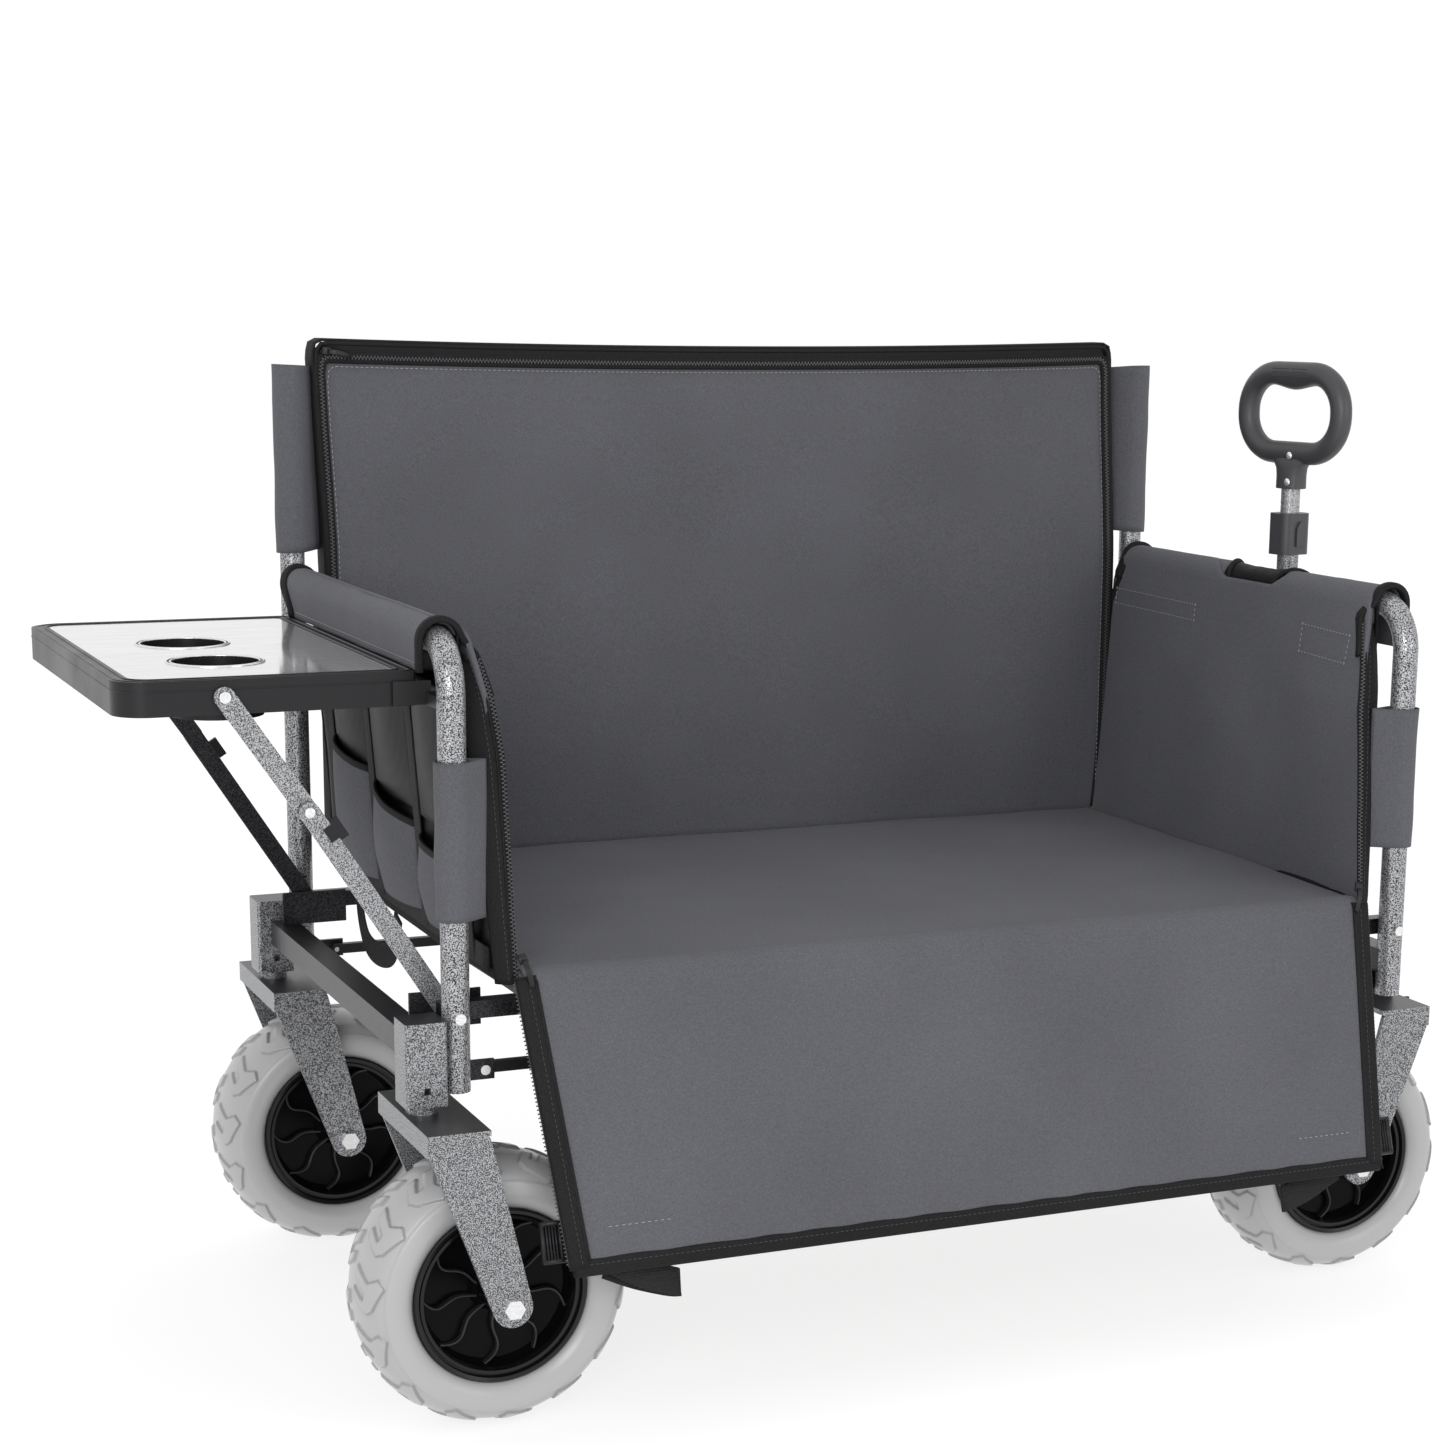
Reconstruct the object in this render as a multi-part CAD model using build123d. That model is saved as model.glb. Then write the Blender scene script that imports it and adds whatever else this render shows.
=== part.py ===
from build123d import *
import os
from math import atan2, cos, degrees, hypot, radians, sin

# Folding wagon that opens into a bench. Millimetres, +Z up, floor at Z = 0.
# X runs along the bench (side table at -X, pull handle at +X), +Y is the back.
# Sizes below are about the bench's middle; export() moves the origin to the
# bottom centre of the whole object's box.

# ---- end frames -------------------------------------------------------------
post_x = 493.0            # end posts' axes, each side of the middle
post_y = 274.0            # front and back posts' axes
post_r = 12.5
tube_wall = 1.5
post_bottom = 305.0
arm_z = 700.0             # axis of the arm tube that joins front and back post
arm_bend = 45.0
back_post_top = 914.0
cross_size = 25.0         # square cross tube of each end frame
cross_z = 340.0
pin_gap = 0.05            # running clearance of every pin in its hole
weld_gap = 0.3            # room between two bodies' curved faces

# ---- folding side rails -----------------------------------------------------
rail_size = 16.0
rail_wall = 1.2
rail_z = 373.0            # upper rail pivots
lower_z = 318.0           # lower rail pivots
lower_shift = 30.0        # lower pivots sit this far inboard of the upper ones
centre_pivot_x = 46.0     # upper pivots on the centre plate
lower_rail_h = 10.0
lower_rail_t = 8.0
rail_tail = 9.0           # rail beyond its end pivots
rail_pin_r = 3.0
lower_pin_r = 2.5
plate_t = 3.0
post_clear = 1.0          # between a post's inner side and the rail

# ---- seat, end panels, backrest, flap ---------------------------------------
board_t = 6.0
board_inset = 100.0       # seat board starts this far from the rail's end pivot
seat_top = 412.0
pad_t = 24.0
pad_end_x = post_x - 47.0
pad_front_y = -post_y - 18.0
pad_back_y = post_y - 16.0
panel_x = post_x - 13.0    # mid-plane of an end panel
panel_t = 8.0
panel_low = 404.0
panel_back_y = post_y - 34.0
panel_front_gap = 3.0     # panel starts this far behind the arm tube's bend
roll_t = 4.0              # fabric rolled round the arm tube
notch_y0, notch_y1 = -71.0, 63.0
sleeve_t = 3.5
sleeve_low, sleeve_high = 459.0, 599.0
back_sleeve_low, back_sleeve_high = 734.0, 918.0
backrest_half = post_x - 31.0
backrest_t = 30.0
backrest_top = 938.0
flap_hinge_y, flap_hinge_z = -post_y - 23.0, 404.0
flap_length = 255.0
flap_hang = 17.8          # degrees that the open flap leans out from vertical
flap_half_top, flap_half_bottom = post_x - 56.0, post_x - 78.0
flap_t = 8.0
strap_w, strap_t, strap_length = 25.0, 1.6, 120.0

# ---- side table and its folding braces --------------------------------------
table_hinge_x, table_hinge_z = -post_x - 27.0, 655.0
table_reach = 248.0       # hinge axis to the table's outer edge
table_behind = 11.0       # hinge axis to the table's inner edge
table_half_y = post_y - 46.0
table_top_z = 672.0
table_h = 30.0
table_wall = 3.0
table_corner = 30.0
inlay_margin, inlay_t = 16.0, 1.0
cup_r, cup_depth, cup_rim = 38.5, 44.0, 5.0
cup_x = -post_x - 165.0
cup_ys = (-107.0, 31.0)
brace_top = (-post_x - 185.0, 657.0)
brace_mid = (-post_x - 116.0, 555.0)
brace_foot = (-post_x - 1.0, 374.0)
link_w, link_t = 18.0, 3.0
brace_pin_r = 3.0
brace_head_r, brace_head_t = 5.0, 2.0
link_gap = 0.5            # between a rivet head and the link that passes it

# ---- casters and wheels -----------------------------------------------------
tyre_r, tyre_half_w = 125.0, 50.0
rim_r = 81.0
hub_half_w = 60.0
axle_r = 6.0
trail = 57.0
stem_r = 8.0
housing = 38.0
housing_low, housing_high = 297.0, 373.0
port, port_z = 3.0, 312.0              # half size and height of the square ports
fork_top = 289.0
fork_sheet = 5.0
fork_half_y = 78.0
fork_back, fork_front = 18.0, 39.0     # plate each side of the stem axis
fork_flange = 20.0
leg_end_r = 18.0
right_stem_x, right_stem_y = post_x + 30.0, post_y - 69.0
brake_swing = 20.0
brake_pad_r = 6.0

# ---- handle -----------------------------------------------------------------
handle_x, handle_pivot_z = post_x + 37.0, 340.0
handle_tube_r, handle_tube_wall = 11.5, 1.2
handle_tube_top = 745.0
collar_low, collar_high = 728.0, 772.0
collar_r = 19.0
inner_bottom, inner_top = 400.0, 822.0
slide_gap = 0.08
grip_z, grip_top = 798.0, 932.0
grip_width, grip_bar, grip_t = 158.0, 27.0, 26.0
grip_bulge, grip_bulge_r = 6.0, 62.0
grip_round = 7.0
grip_turn = 13.0          # the grip's loop is turned this far about the tube
button_travel = 3.0

parts = {}


def add(name, *solids):
    """File one sub-part: one solid, or a group of identical separate ones."""
    flat = [s for shape in solids for s in shape.solids()]
    parts[name] = flat[0] if len(flat) == 1 else Compound(children=flat)


def span(x, y, z):
    """Box between two X, two Y and two Z values."""
    size = [abs(p[1] - p[0]) for p in (x, y, z)]
    middle = [(p[0] + p[1]) / 2 for p in (x, y, z)]
    return Pos(*middle) * Box(*size)


def rod_z(x, y, z0, z1, r):
    return Pos(x, y, (z0 + z1) / 2) * Cylinder(r, abs(z1 - z0))


def rod_y(x, z, y0, y1, r):
    return Pos(x, (y0 + y1) / 2, z) * Rot(90, 0, 0) * Cylinder(r, abs(y1 - y0))


def in_xz(sketch, y0, y1):
    """Extrude a sketch drawn as (x, z) between two Y values."""
    low, high = min(y0, y1), max(y0, y1)
    return extrude(Plane.XZ.offset(-high) * sketch, amount=high - low, dir=(0, -1, 0))


def square_tube_x(x0, x1, y, z, size, wall):
    h = size / 2
    inner = h - wall
    outside = span((x0, x1), (y - h, y + h), (z - h, z + h))
    return outside - span((x0 - 1, x1 + 1), (y - inner, y + inner), (z - inner, z + inner))


def square_tube_y(x, y0, y1, z, size, wall):
    h = size / 2
    inner = h - wall
    outside = span((x - h, x + h), (y0, y1), (z - h, z + h))
    return outside - span((x - inner, x + inner), (y0 - 1, y1 + 1), (z - inner, z + inner))


def bar_outline(a, b, r_a, r_b):
    """Flat bar with round ends about two points, as a sketch in (x, z)."""
    ends = (Pos(*a) * Circle(r_a)).edges() + (Pos(*b) * Circle(r_b)).edges()
    return make_hull(ends)


def ring_z(x, y, z0, z1, r_out, r_in):
    return rod_z(x, y, z0, z1, r_out) - rod_z(x, y, z0 - 1, z1 + 1, r_in)


# ---- planes that several pieces share ---------------------------------------
rail_y = post_y - post_r - post_clear - rail_size / 2
plate_y = rail_y + rail_size / 2 + 0.5
board_y = rail_y + 3.5
lower_pivot_x = post_x - lower_shift
lower_centre_x = centre_pivot_x - lower_shift
backrest_y = post_y - post_r + 0.5
board_z = rail_z + rail_size / 2
left_stem_x = -(post_x + post_r + housing / 2 + 0.5)
link_up_y = table_half_y + 1.5
link_low_y = link_up_y + link_t + brace_head_t + link_gap


def side_rivets(side):
    """Pivot pins of the rails in one end frame, as the posts see them."""
    pins = []
    for way in (-1, 1):
        y_in = way * (rail_y - rail_size / 2 - 1.5)
        y_out = way * (post_y + post_r + 2.0)
        pin = rod_y(side * post_x, rail_z, y_in, y_out, rail_pin_r)
        head = rod_y(side * post_x, rail_z, y_out - way * 1.5, y_out + way * 1.5, 5.0)
        pins.append(pin + head)
        y_low_in = way * (rail_y - lower_rail_t / 2 - 1.0)
        y_low_out = way * (post_y - post_r + 3.0)
        low = rod_y(side * lower_pivot_x, lower_z, y_low_in, y_low_out, lower_pin_r)
        low_head = rod_y(side * lower_pivot_x, lower_z, y_low_out - way * 2.5, y_low_out, 4.5)
        pins.append(low + low_head)
    return pins


def drill_pins(shape, side):
    """Holes through a post or bracket for the rail pins that it carries."""
    reach = post_y + post_r + 10
    shape = shape - rod_y(side * post_x, rail_z, -reach, reach, rail_pin_r + 0.02)
    for way in (-1, 1):
        y = way * (post_y + post_r + 0.5)
        shape = shape - rod_y(side * post_x, rail_z, y, way * reach, 5.02)
    return shape


def front_post(side):
    """Front post, bent at the top into the arm tube that meets the back post."""
    x = side * post_x
    corners = [(x, -post_y, post_bottom), (x, -post_y, arm_z), (x, post_y, arm_z)]
    path = FilletPolyline(*corners, radius=arm_bend)
    start = Plane(origin=corners[0], z_dir=(0, 0, 1))
    tube = sweep(start * Circle(post_r), path=path) - sweep(start * Circle(post_r - tube_wall), path=path)
    tube = tube - rod_z(x, post_y, arm_z - 60, arm_z + 60, post_r)
    return drill_pins(tube, side)


def back_post(side):
    x = side * post_x
    tube = ring_z(x, post_y, post_bottom, back_post_top, post_r, post_r - tube_wall)
    cap = rod_z(x, post_y, back_post_top - 4, back_post_top, post_r - tube_wall)
    return drill_pins(tube + cap, side)


def rail_brackets(side):
    """Plates on the posts' inner sides that carry the lower rails."""
    x0, x1 = side * (post_x + 6), side * (lower_pivot_x - 9)
    plates = []
    for way in (-1, 1):
        y0, y1 = way * (post_y - post_r - 4.3), way * (post_y - post_r)
        plate = span((x0, x1), (y0, y1), (lower_z - 9, lower_z + 9))
        hole = rod_y(side * lower_pivot_x, lower_z, y0 - way, y1 + way, lower_pin_r + 0.02)
        plates.append(plate - hole)
    return plates


def upper_rails(side):
    """Front and back half rails of one side of the fold."""
    rails = []
    for way in (-1, 1):
        x0 = side * (post_x + rail_tail)
        x1 = side * (centre_pivot_x - rail_tail)
        rail = square_tube_x(min(x0, x1), max(x0, x1), way * rail_y, rail_z, rail_size, rail_wall)
        for pivot in (post_x, centre_pivot_x):
            rail = rail - rod_y(side * pivot, rail_z, way * (rail_y - 20), way * (rail_y + 20),
                                rail_pin_r + pin_gap)
        rails.append(rail)
    return rails


def lower_rails(side):
    bars = []
    for way in (-1, 1):
        ends = [(side * lower_pivot_x, lower_z), (side * lower_centre_x, lower_z)]
        outline = bar_outline(*ends, lower_rail_h / 2, lower_rail_h / 2)
        y0, y1 = way * (rail_y - lower_rail_t / 2), way * (rail_y + lower_rail_t / 2)
        bar = in_xz(outline, y0, y1)
        for pivot in (lower_pivot_x, lower_centre_x):
            bar = bar - rod_y(side * pivot, lower_z, y0 - way, y1 + way, lower_pin_r + pin_gap)
        bars.append(bar)
    return bars


def centre_plate(way):
    """Shield-shaped plate with the four pivots of one long side."""
    top = rail_z + 13
    shield = make_hull(
        (Pos(-centre_pivot_x, top - 11) * Circle(11)).edges()
        + (Pos(centre_pivot_x, top - 11) * Circle(11)).edges()
        + (Pos(-lower_centre_x, lower_z) * Circle(13)).edges()
        + (Pos(lower_centre_x, lower_z) * Circle(13)).edges())
    plate = in_xz(shield, way * plate_y, way * (plate_y + plate_t))
    reach = (way * (plate_y - 5), way * (plate_y + 10))
    for side in (-1, 1):
        plate -= rod_y(side * centre_pivot_x, rail_z, *reach, rail_pin_r + 0.02)
        plate -= rod_y(side * lower_centre_x, lower_z, *reach, lower_pin_r + 0.02)
        slot = Pos(side * 21, rail_z - 12) * Rot(0, 0, side * 20) * SlotOverall(16, 5)
        plate -= in_xz(slot, *reach)
    return plate


def centre_bolts(way):
    bolts = []
    inner = rail_y - rail_size / 2 - 1.5
    head_in = plate_y + plate_t
    for side in (-1, 1):
        for x, z, r, y_in in ((centre_pivot_x, rail_z, rail_pin_r, inner),
                              (lower_centre_x, lower_z, lower_pin_r, rail_y - lower_rail_t / 2 - 1)):
            pin = rod_y(side * x, z, way * y_in, way * (head_in + 1), r)
            head = rod_y(side * x, z, way * head_in, way * (head_in + 2.5), 5.0)
            bolt = pin + head
            if z == lower_z:
                bolt += rod_y(side * x, z, way * (rail_y + lower_rail_t / 2 + 0.2), way * (plate_y - 0.1), 4.5)
            bolts.append(bolt)
    return bolts


def seat_board(side):
    x0, x1 = side * 2.0, side * (post_x - board_inset)
    board = span((x0, x1), (-board_y, board_y), (board_z, board_z + board_t))
    return fillet(board.edges().filter_by(Axis.Z), 10)


def seat_pad(side):
    x0, x1 = side * 1.0, side * pad_end_x
    pad = span((x0, x1), (pad_front_y, pad_back_y), (seat_top - pad_t, seat_top))
    return pad


def end_fabric(side, notched):
    """End panel, the roll that wraps the arm tube, and the front post's sleeve."""
    x = side * panel_x
    roll_r = post_r + weld_gap + roll_t
    panel_front_y = -post_y + arm_bend + panel_front_gap
    panel = span((x - panel_t / 2, x + panel_t / 2), (panel_front_y, panel_back_y), (panel_low, arm_z - 4))
    roll_ends = (-post_y + arm_bend + 1, post_y - post_r - roll_t - 2)
    runs = [(roll_ends[0], notch_y0), (notch_y1, roll_ends[1])] if notched else [roll_ends]
    shapes = [panel]
    for y0, y1 in runs:
        roll = rod_y(side * post_x, arm_z, y0, y1, roll_r)
        shapes.append(roll)
    cloth = shapes[0]
    for roll in shapes[1:]:
        cloth = cloth + roll
    bore = rod_y(side * post_x, arm_z, -post_y, post_y, post_r + weld_gap)
    cloth = cloth - bore
    sleeve = ring_z(side * post_x, -post_y, sleeve_low, sleeve_high,
                    post_r + weld_gap + sleeve_t, post_r + weld_gap)
    return [cloth, sleeve]


def backrest_sleeve(side):
    outer = post_r + weld_gap + sleeve_t
    return ring_z(side * post_x, post_y, back_sleeve_low, back_sleeve_high, outer, post_r + weld_gap)


def backrest():
    pad = span((-backrest_half, backrest_half), (backrest_y, backrest_y + backrest_t),
               (seat_top - 8, backrest_top))
    return fillet(pad.edges().filter_by(Axis.Y), 12)


def place_flap(shape):
    """From a flap hanging straight down below its hinge to its open slant."""
    return Pos(0, flap_hinge_y, flap_hinge_z) * Rot(-flap_hang, 0, 0) * shape


def front_flap():
    start = flap_t / 2 + 1
    outline = make_face(Polyline((-flap_half_top, -start), (flap_half_top, -start),
                                 (flap_half_bottom, -flap_length), (-flap_half_bottom, -flap_length),
                                 close=True))
    return place_flap(in_xz(outline, -flap_t / 2, flap_t / 2))


def flap_straps():
    """Webbing straps sewn behind the flap's lower corners."""
    straps = []
    for side in (-1, 1):
        x0 = side * (flap_half_bottom - 40)
        x1 = x0 - side * strap_length
        y0 = flap_t / 2 + 0.4
        z0 = -flap_length + 6
        strap = span((x0, x1), (y0, y0 + strap_t), (z0, z0 + strap_w))
        straps.append(place_flap(strap))
    return straps


def flap_buckles():
    """Ladder-lock buckles at the flap's lower corners."""
    frames = []
    for side in (-1, 1):
        x = side * (flap_half_bottom - 24)
        z = -flap_length + 6 + strap_w / 2
        y0 = flap_t / 2 + 0.4
        frame = span((x - 14, x + 14), (y0, y0 + 5), (z - 15, z + 15))
        for off in (-6, 6):
            frame -= span((x + off - 3, x + off + 3), (y0 - 1, y0 + 6), (z - 11, z + 11))
        frames.append(place_flap(frame))
    return frames


# ---- side table ---------------------------------------------------------------
def table_outline(margin):
    x0 = table_hinge_x - table_reach + margin
    x1 = table_hinge_x + table_behind - margin
    half = table_half_y - margin
    plan = Pos((x0 + x1) / 2, 0) * Rectangle(x1 - x0, 2 * half)
    outer_corners = plan.vertices().group_by(Axis.X)[0]
    plan = fillet(outer_corners, table_corner - margin / 2)
    return fillet(plan.vertices().group_by(Axis.X)[-1], 6)


def table_top():
    """Moulded tray with a skirt, two cup wells, and bosses for its pivots."""
    bottom = table_top_z - table_h
    tray = Pos(0, 0, bottom) * extrude(table_outline(0), amount=table_h)
    hollow = Pos(0, 0, bottom - 1) * extrude(table_outline(table_wall), amount=table_h - table_wall + 1)
    tray -= hollow
    for way in (-1, 1):
        wall_in = table_half_y - table_wall - 14
        for x, z in ((table_hinge_x, table_hinge_z), brace_top):
            tray += rod_y(x, z, way * wall_in, way * (table_half_y - 1), 8)
    for y in cup_ys:
        tray += rod_z(cup_x, y, table_top_z - cup_depth - 3, table_top_z, cup_r + 3)
    for y in cup_ys:
        tray -= rod_z(cup_x, y, table_top_z - cup_depth, table_top_z + 1, cup_r)
    for way in (-1, 1):
        reach = (way * (table_half_y - 40), way * (table_half_y + 5))
        tray -= rod_y(table_hinge_x, table_hinge_z, *reach, 4 + pin_gap)
        tray -= rod_y(*brace_top, *reach, brace_pin_r + pin_gap)
    recess = Pos(0, 0, table_top_z - inlay_t) * extrude(table_outline(inlay_margin - 0.3), amount=inlay_t + 1)
    for y in cup_ys:
        recess -= rod_z(cup_x, y, table_top_z - 5, table_top_z + 5, cup_r + cup_rim - 0.3)
    return tray - recess


def table_inlay():
    sheet = Pos(0, 0, table_top_z - inlay_t) * extrude(table_outline(inlay_margin), amount=inlay_t)
    for y in cup_ys:
        sheet -= rod_z(cup_x, y, table_top_z - 5, table_top_z + 5, cup_r + cup_rim)
    return sheet


def table_brackets():
    """Brackets welded to the left posts' inner sides, with the table's studs."""
    brackets = []
    z1 = min(table_hinge_z, arm_z - arm_bend) - 1
    z0 = z1 - 11
    for way in (-1, 1):
        ear = span((table_hinge_x - 12, -post_x - 5), (way * (table_half_y + 1), way * (table_half_y + 4)),
                   (z0, table_hinge_z + 9))
        bar = span((-post_x - 10, -post_x + 4), (way * (table_half_y + 1), way * (post_y - 4)), (z0, z1))
        stud = rod_y(table_hinge_x, table_hinge_z, way * (table_half_y - 15), way * (table_half_y + 3), 4)
        brackets.append(ear + bar + stud - rod_z(-post_x, way * post_y, z0 - 1, z1 + 1, post_r))
    return brackets


def brace_upper_links():
    links = []
    for way in (-1, 1):
        y0, y1 = way * link_up_y, way * (link_up_y + link_t)
        link = in_xz(bar_outline(brace_top, brace_mid, link_w / 2, link_w / 2), y0, y1)
        stud = rod_y(*brace_top, way * (table_half_y - 12), y1, brace_pin_r)
        head = rod_y(*brace_top, y1 - way * 0.5, y1 + way * brace_head_t, brace_head_r)
        links.append(link + stud + head)
    return links


def brace_lower_links():
    """Lower links, outboard of the upper ones, with the middle rivet's head."""
    links = []
    for way in (-1, 1):
        y0, y1 = way * link_low_y, way * (link_low_y + link_t)
        link = in_xz(bar_outline(brace_mid, brace_foot, link_w / 2, link_w / 2), y0, y1)
        link += rod_y(*brace_mid, y1 - way * 0.5, y1 + way * brace_head_t, brace_head_r)
        links.append(link - rod_y(*brace_foot, y0 - way, y1 + way, brace_pin_r + pin_gap))
    return links


def brace_lock_clips():
    """Sliding clips that hold each brace straight, on the lower link's edge."""
    dx, dz = brace_foot[0] - brace_mid[0], brace_foot[1] - brace_mid[1]
    length = hypot(dx, dz)
    ux, uz = dx / length, dz / length
    nx, nz = -uz, ux
    along, edge = 26.0, link_w / 2
    clips = []
    for way in (-1, 1):
        cx = brace_mid[0] + ux * along + nx * (edge + 4.2)
        cz = brace_mid[1] + uz * along + nz * (edge + 4.2)
        turn = degrees(atan2(uz, ux))
        body = Pos(cx, cz) * Rot(0, 0, turn) * Rectangle(20, 8)
        tab = Pos(cx - nx * 7.5, cz - nz * 7.5) * Rot(0, 0, turn) * Rectangle(14, 10)
        outer = link_low_y + link_t
        block = in_xz(body, way * link_low_y, way * (outer + 1.2))
        wing = in_xz(tab, way * (outer + 0.3), way * (outer + 1.2))
        clips.append(block + wing)
    return clips


def brace_brackets():
    """Plates that stand on the left cross tube and carry the braces' feet."""
    base = cross_z + cross_size / 2
    plates = []
    for way in (-1, 1):
        y0, y1 = way * link_up_y, way * (link_up_y + link_t)
        outer = link_low_y + link_t + link_gap
        plate = span((-post_x - 30, -post_x + 36), (y0, y1), (base, brace_foot[1] + 12))
        spacer = rod_y(*brace_foot, y1 - way * 0.5, way * (link_low_y - 0.3), brace_head_r)
        stud = rod_y(*brace_foot, y0, way * outer, brace_pin_r)
        head = rod_y(*brace_foot, way * outer, way * (outer + brace_head_t), brace_head_r)
        bolt = rod_y(brace_foot[0] + 22, brace_foot[1] + 2, y1 - way * 0.5, y1 + way * 2, 4)
        plates.append(plate + spacer + stud + head + bolt)
    return plates


# ---- casters and wheels -------------------------------------------------------
def fork(stem_x, stem_y, way, stem_height):
    """Folded-sheet fork. way is +1 or -1: the side that the wheel trails to."""
    top, under = fork_top, fork_top - fork_sheet
    x0, x1 = stem_x - way * fork_back, stem_x + way * fork_front
    y0, y1 = stem_y - fork_half_y, stem_y + fork_half_y
    body = span((x0, x1), (y0, y1), (under, top))
    body += span((x0, x0 + way * fork_sheet), (y0, y1), (top - fork_flange, top))
    axle = (stem_x + way * trail, tyre_r)
    crown_a = (stem_x - way * (fork_back - 12), top - 12)
    crown_b = (stem_x + way * (fork_front - 12), top - 12)
    leg = make_hull((Pos(*crown_a) * Circle(12)).edges() + (Pos(*crown_b) * Circle(12)).edges()
                    + (Pos(*axle) * Circle(leg_end_r)).edges())
    for a, b in ((y0, y0 + fork_sheet), (y1 - fork_sheet, y1)):
        body += in_xz(leg, a, b)
    body -= rod_y(*axle, y0 - 1, y1 + 1, axle_r + 0.02)
    if stem_height > 0:
        body += rod_z(stem_x, stem_y, top - 1, top + stem_height, stem_r)
        body += rod_z(stem_x, stem_y, top - 1, housing_low - 0.3, stem_r + 6)
    return body


def axle_bolt(x, y):
    """Hex bolt through both legs with a lock nut at the back."""
    y0, y1 = y - fork_half_y, y + fork_half_y
    shank = rod_y(x, tyre_r, y0, y1 + 9, axle_r)
    head = in_xz(Pos(x, tyre_r) * RegularPolygon(9.5, 6), y0 - 6, y0)
    nut = in_xz(Pos(x, tyre_r) * RegularPolygon(9.5, 6), y1, y1 + 7)
    spacers = [rod_y(x, tyre_r, a, b, 10) for a, b in
               ((y0 + fork_sheet, y - hub_half_w - 0.5), (y + hub_half_w + 0.5, y1 - fork_sheet))]
    return shank + head + nut + spacers[0] + spacers[1]


def tyre(x, y):
    bead = tyre_half_w - 8
    shoulder_r, shoulder_w = tyre_r - 9, tyre_half_w - 15
    edges = [ThreePointArc((rim_r, bead), (rim_r + 18, tyre_half_w), (shoulder_r, shoulder_w)),
             ThreePointArc((shoulder_r, shoulder_w), (tyre_r, 0), (shoulder_r, -shoulder_w)),
             ThreePointArc((shoulder_r, -shoulder_w), (rim_r + 18, -tyre_half_w), (rim_r, -bead)),
             Line((rim_r, -bead), (rim_r, bead))]
    ring = revolve(make_face(edges), axis=Axis.Y)
    return Pos(x, y, tyre_r) * ring


def hub(x, y):
    """Moulded wheel: rim, dished web, boss, and curved ribs on both faces."""
    ribs = 9
    rim_w = tyre_half_w - 6
    seat = rim_r - 0.3
    body = rod_y(0, 0, -rim_w, rim_w, seat) - rod_y(0, 0, -rim_w - 1, rim_w + 1, seat - 6)
    body += rod_y(0, 0, -4, 4, seat - 5) + rod_y(0, 0, -hub_half_w, hub_half_w, 15)
    radius = (seat - 5) / 2
    ring = Pos(radius, 0) * (Circle(radius + 1.5) - Circle(radius - 1.5))
    keep = (Circle(seat - 5) - Circle(14)) & (Pos(0, 60) * Rectangle(200, 120))
    rib = in_xz(ring & keep, -rim_w + 14, rim_w - 14)
    for i in range(ribs):
        body += Rot(0, i * 360 / ribs, 0) * rib
    body -= rod_y(0, 0, -hub_half_w - 1, hub_half_w + 1, axle_r + pin_gap)
    return Pos(x, y, tyre_r) * body


def brake_pivot():
    """Pivot of a foot brake: (x, z) just outside the fixed fork's flange."""
    return (right_stem_x + fork_back + 9, fork_top - 16)


def brake_pedal(y):
    """Lever whose pad stops a millimetre short of the tyre when pressed."""
    px, pz = brake_pivot()
    cx, cz = right_stem_x - trail, tyre_r
    reach = tyre_r + 1.0 + brake_pad_r
    aim = radians(52)
    ex, ez = cx + reach * cos(aim) - px, cz + reach * sin(aim) - pz
    back = radians(brake_swing)
    pad = (px + ex * cos(back) - ez * sin(back), pz + ex * sin(back) + ez * cos(back))
    toe = (px + 24, pz - 12)
    lever = in_xz(bar_outline((px, pz), toe, 7, 5), y - 16, y + 16)
    arm = in_xz(bar_outline((px, pz), pad, 7, brake_pad_r), y - 6, y + 6)
    shoe = rod_y(*pad, y - 24, y + 24, brake_pad_r)
    return lever + arm + shoe - rod_y(px, pz, y - 30, y + 30, 3 + pin_gap)


def brake_pins():
    px, pz = brake_pivot()
    pins = []
    for way in (-1, 1):
        y = way * right_stem_y
        pin = rod_y(px, pz, y - 24, y + 24, 3)
        for off in (-1, 1):
            ear = span((right_stem_x + fork_back, px + 6), (y + off * 19, y + off * 22), (pz - 6, pz + 12))
            pin += ear
        pins.append(pin)
    return pins


# ---- handle -------------------------------------------------------------------
def about_handle(shape):
    return Pos(handle_x, 0, 0) * Rot(0, 0, grip_turn) * shape


def handle_bracket():
    """U bracket on the right cross tube with the handle's pivot bolt."""
    face = post_x + cross_size / 2
    gap = handle_tube_r + 0.6
    body = span((face, face + 4), (-gap - 4, gap + 4), (handle_pivot_z - 12, handle_pivot_z + 12))
    for way in (-1, 1):
        body += span((face, handle_x + 12), (way * gap, way * (gap + 4)),
                     (handle_pivot_z - 12, handle_pivot_z + 12))
        body += rod_y(handle_x, handle_pivot_z, way * (gap + 4), way * (gap + 7), 8)
    body += rod_y(handle_x, handle_pivot_z, -gap - 4, gap + 4, 4)
    return body


def handle_lower_tube():
    bottom = handle_pivot_z - 14
    tube = ring_z(handle_x, 0, bottom, handle_tube_top, handle_tube_r, handle_tube_r - handle_tube_wall)
    return tube - rod_y(handle_x, handle_pivot_z, -30, 30, 4 + pin_gap)


def button_outline(grow):
    """Pointed button: a tall rectangle with a gabled top, in (x, z)."""
    w, low, shoulder, peak = 6.0 + grow, -13.0 - grow, 6.0, 13.0 + grow
    return make_face(Polyline((-w, low), (w, low), (w, shoulder), (w / 3, peak), (-w / 3, peak),
                              (-w, shoulder), close=True))


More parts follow.
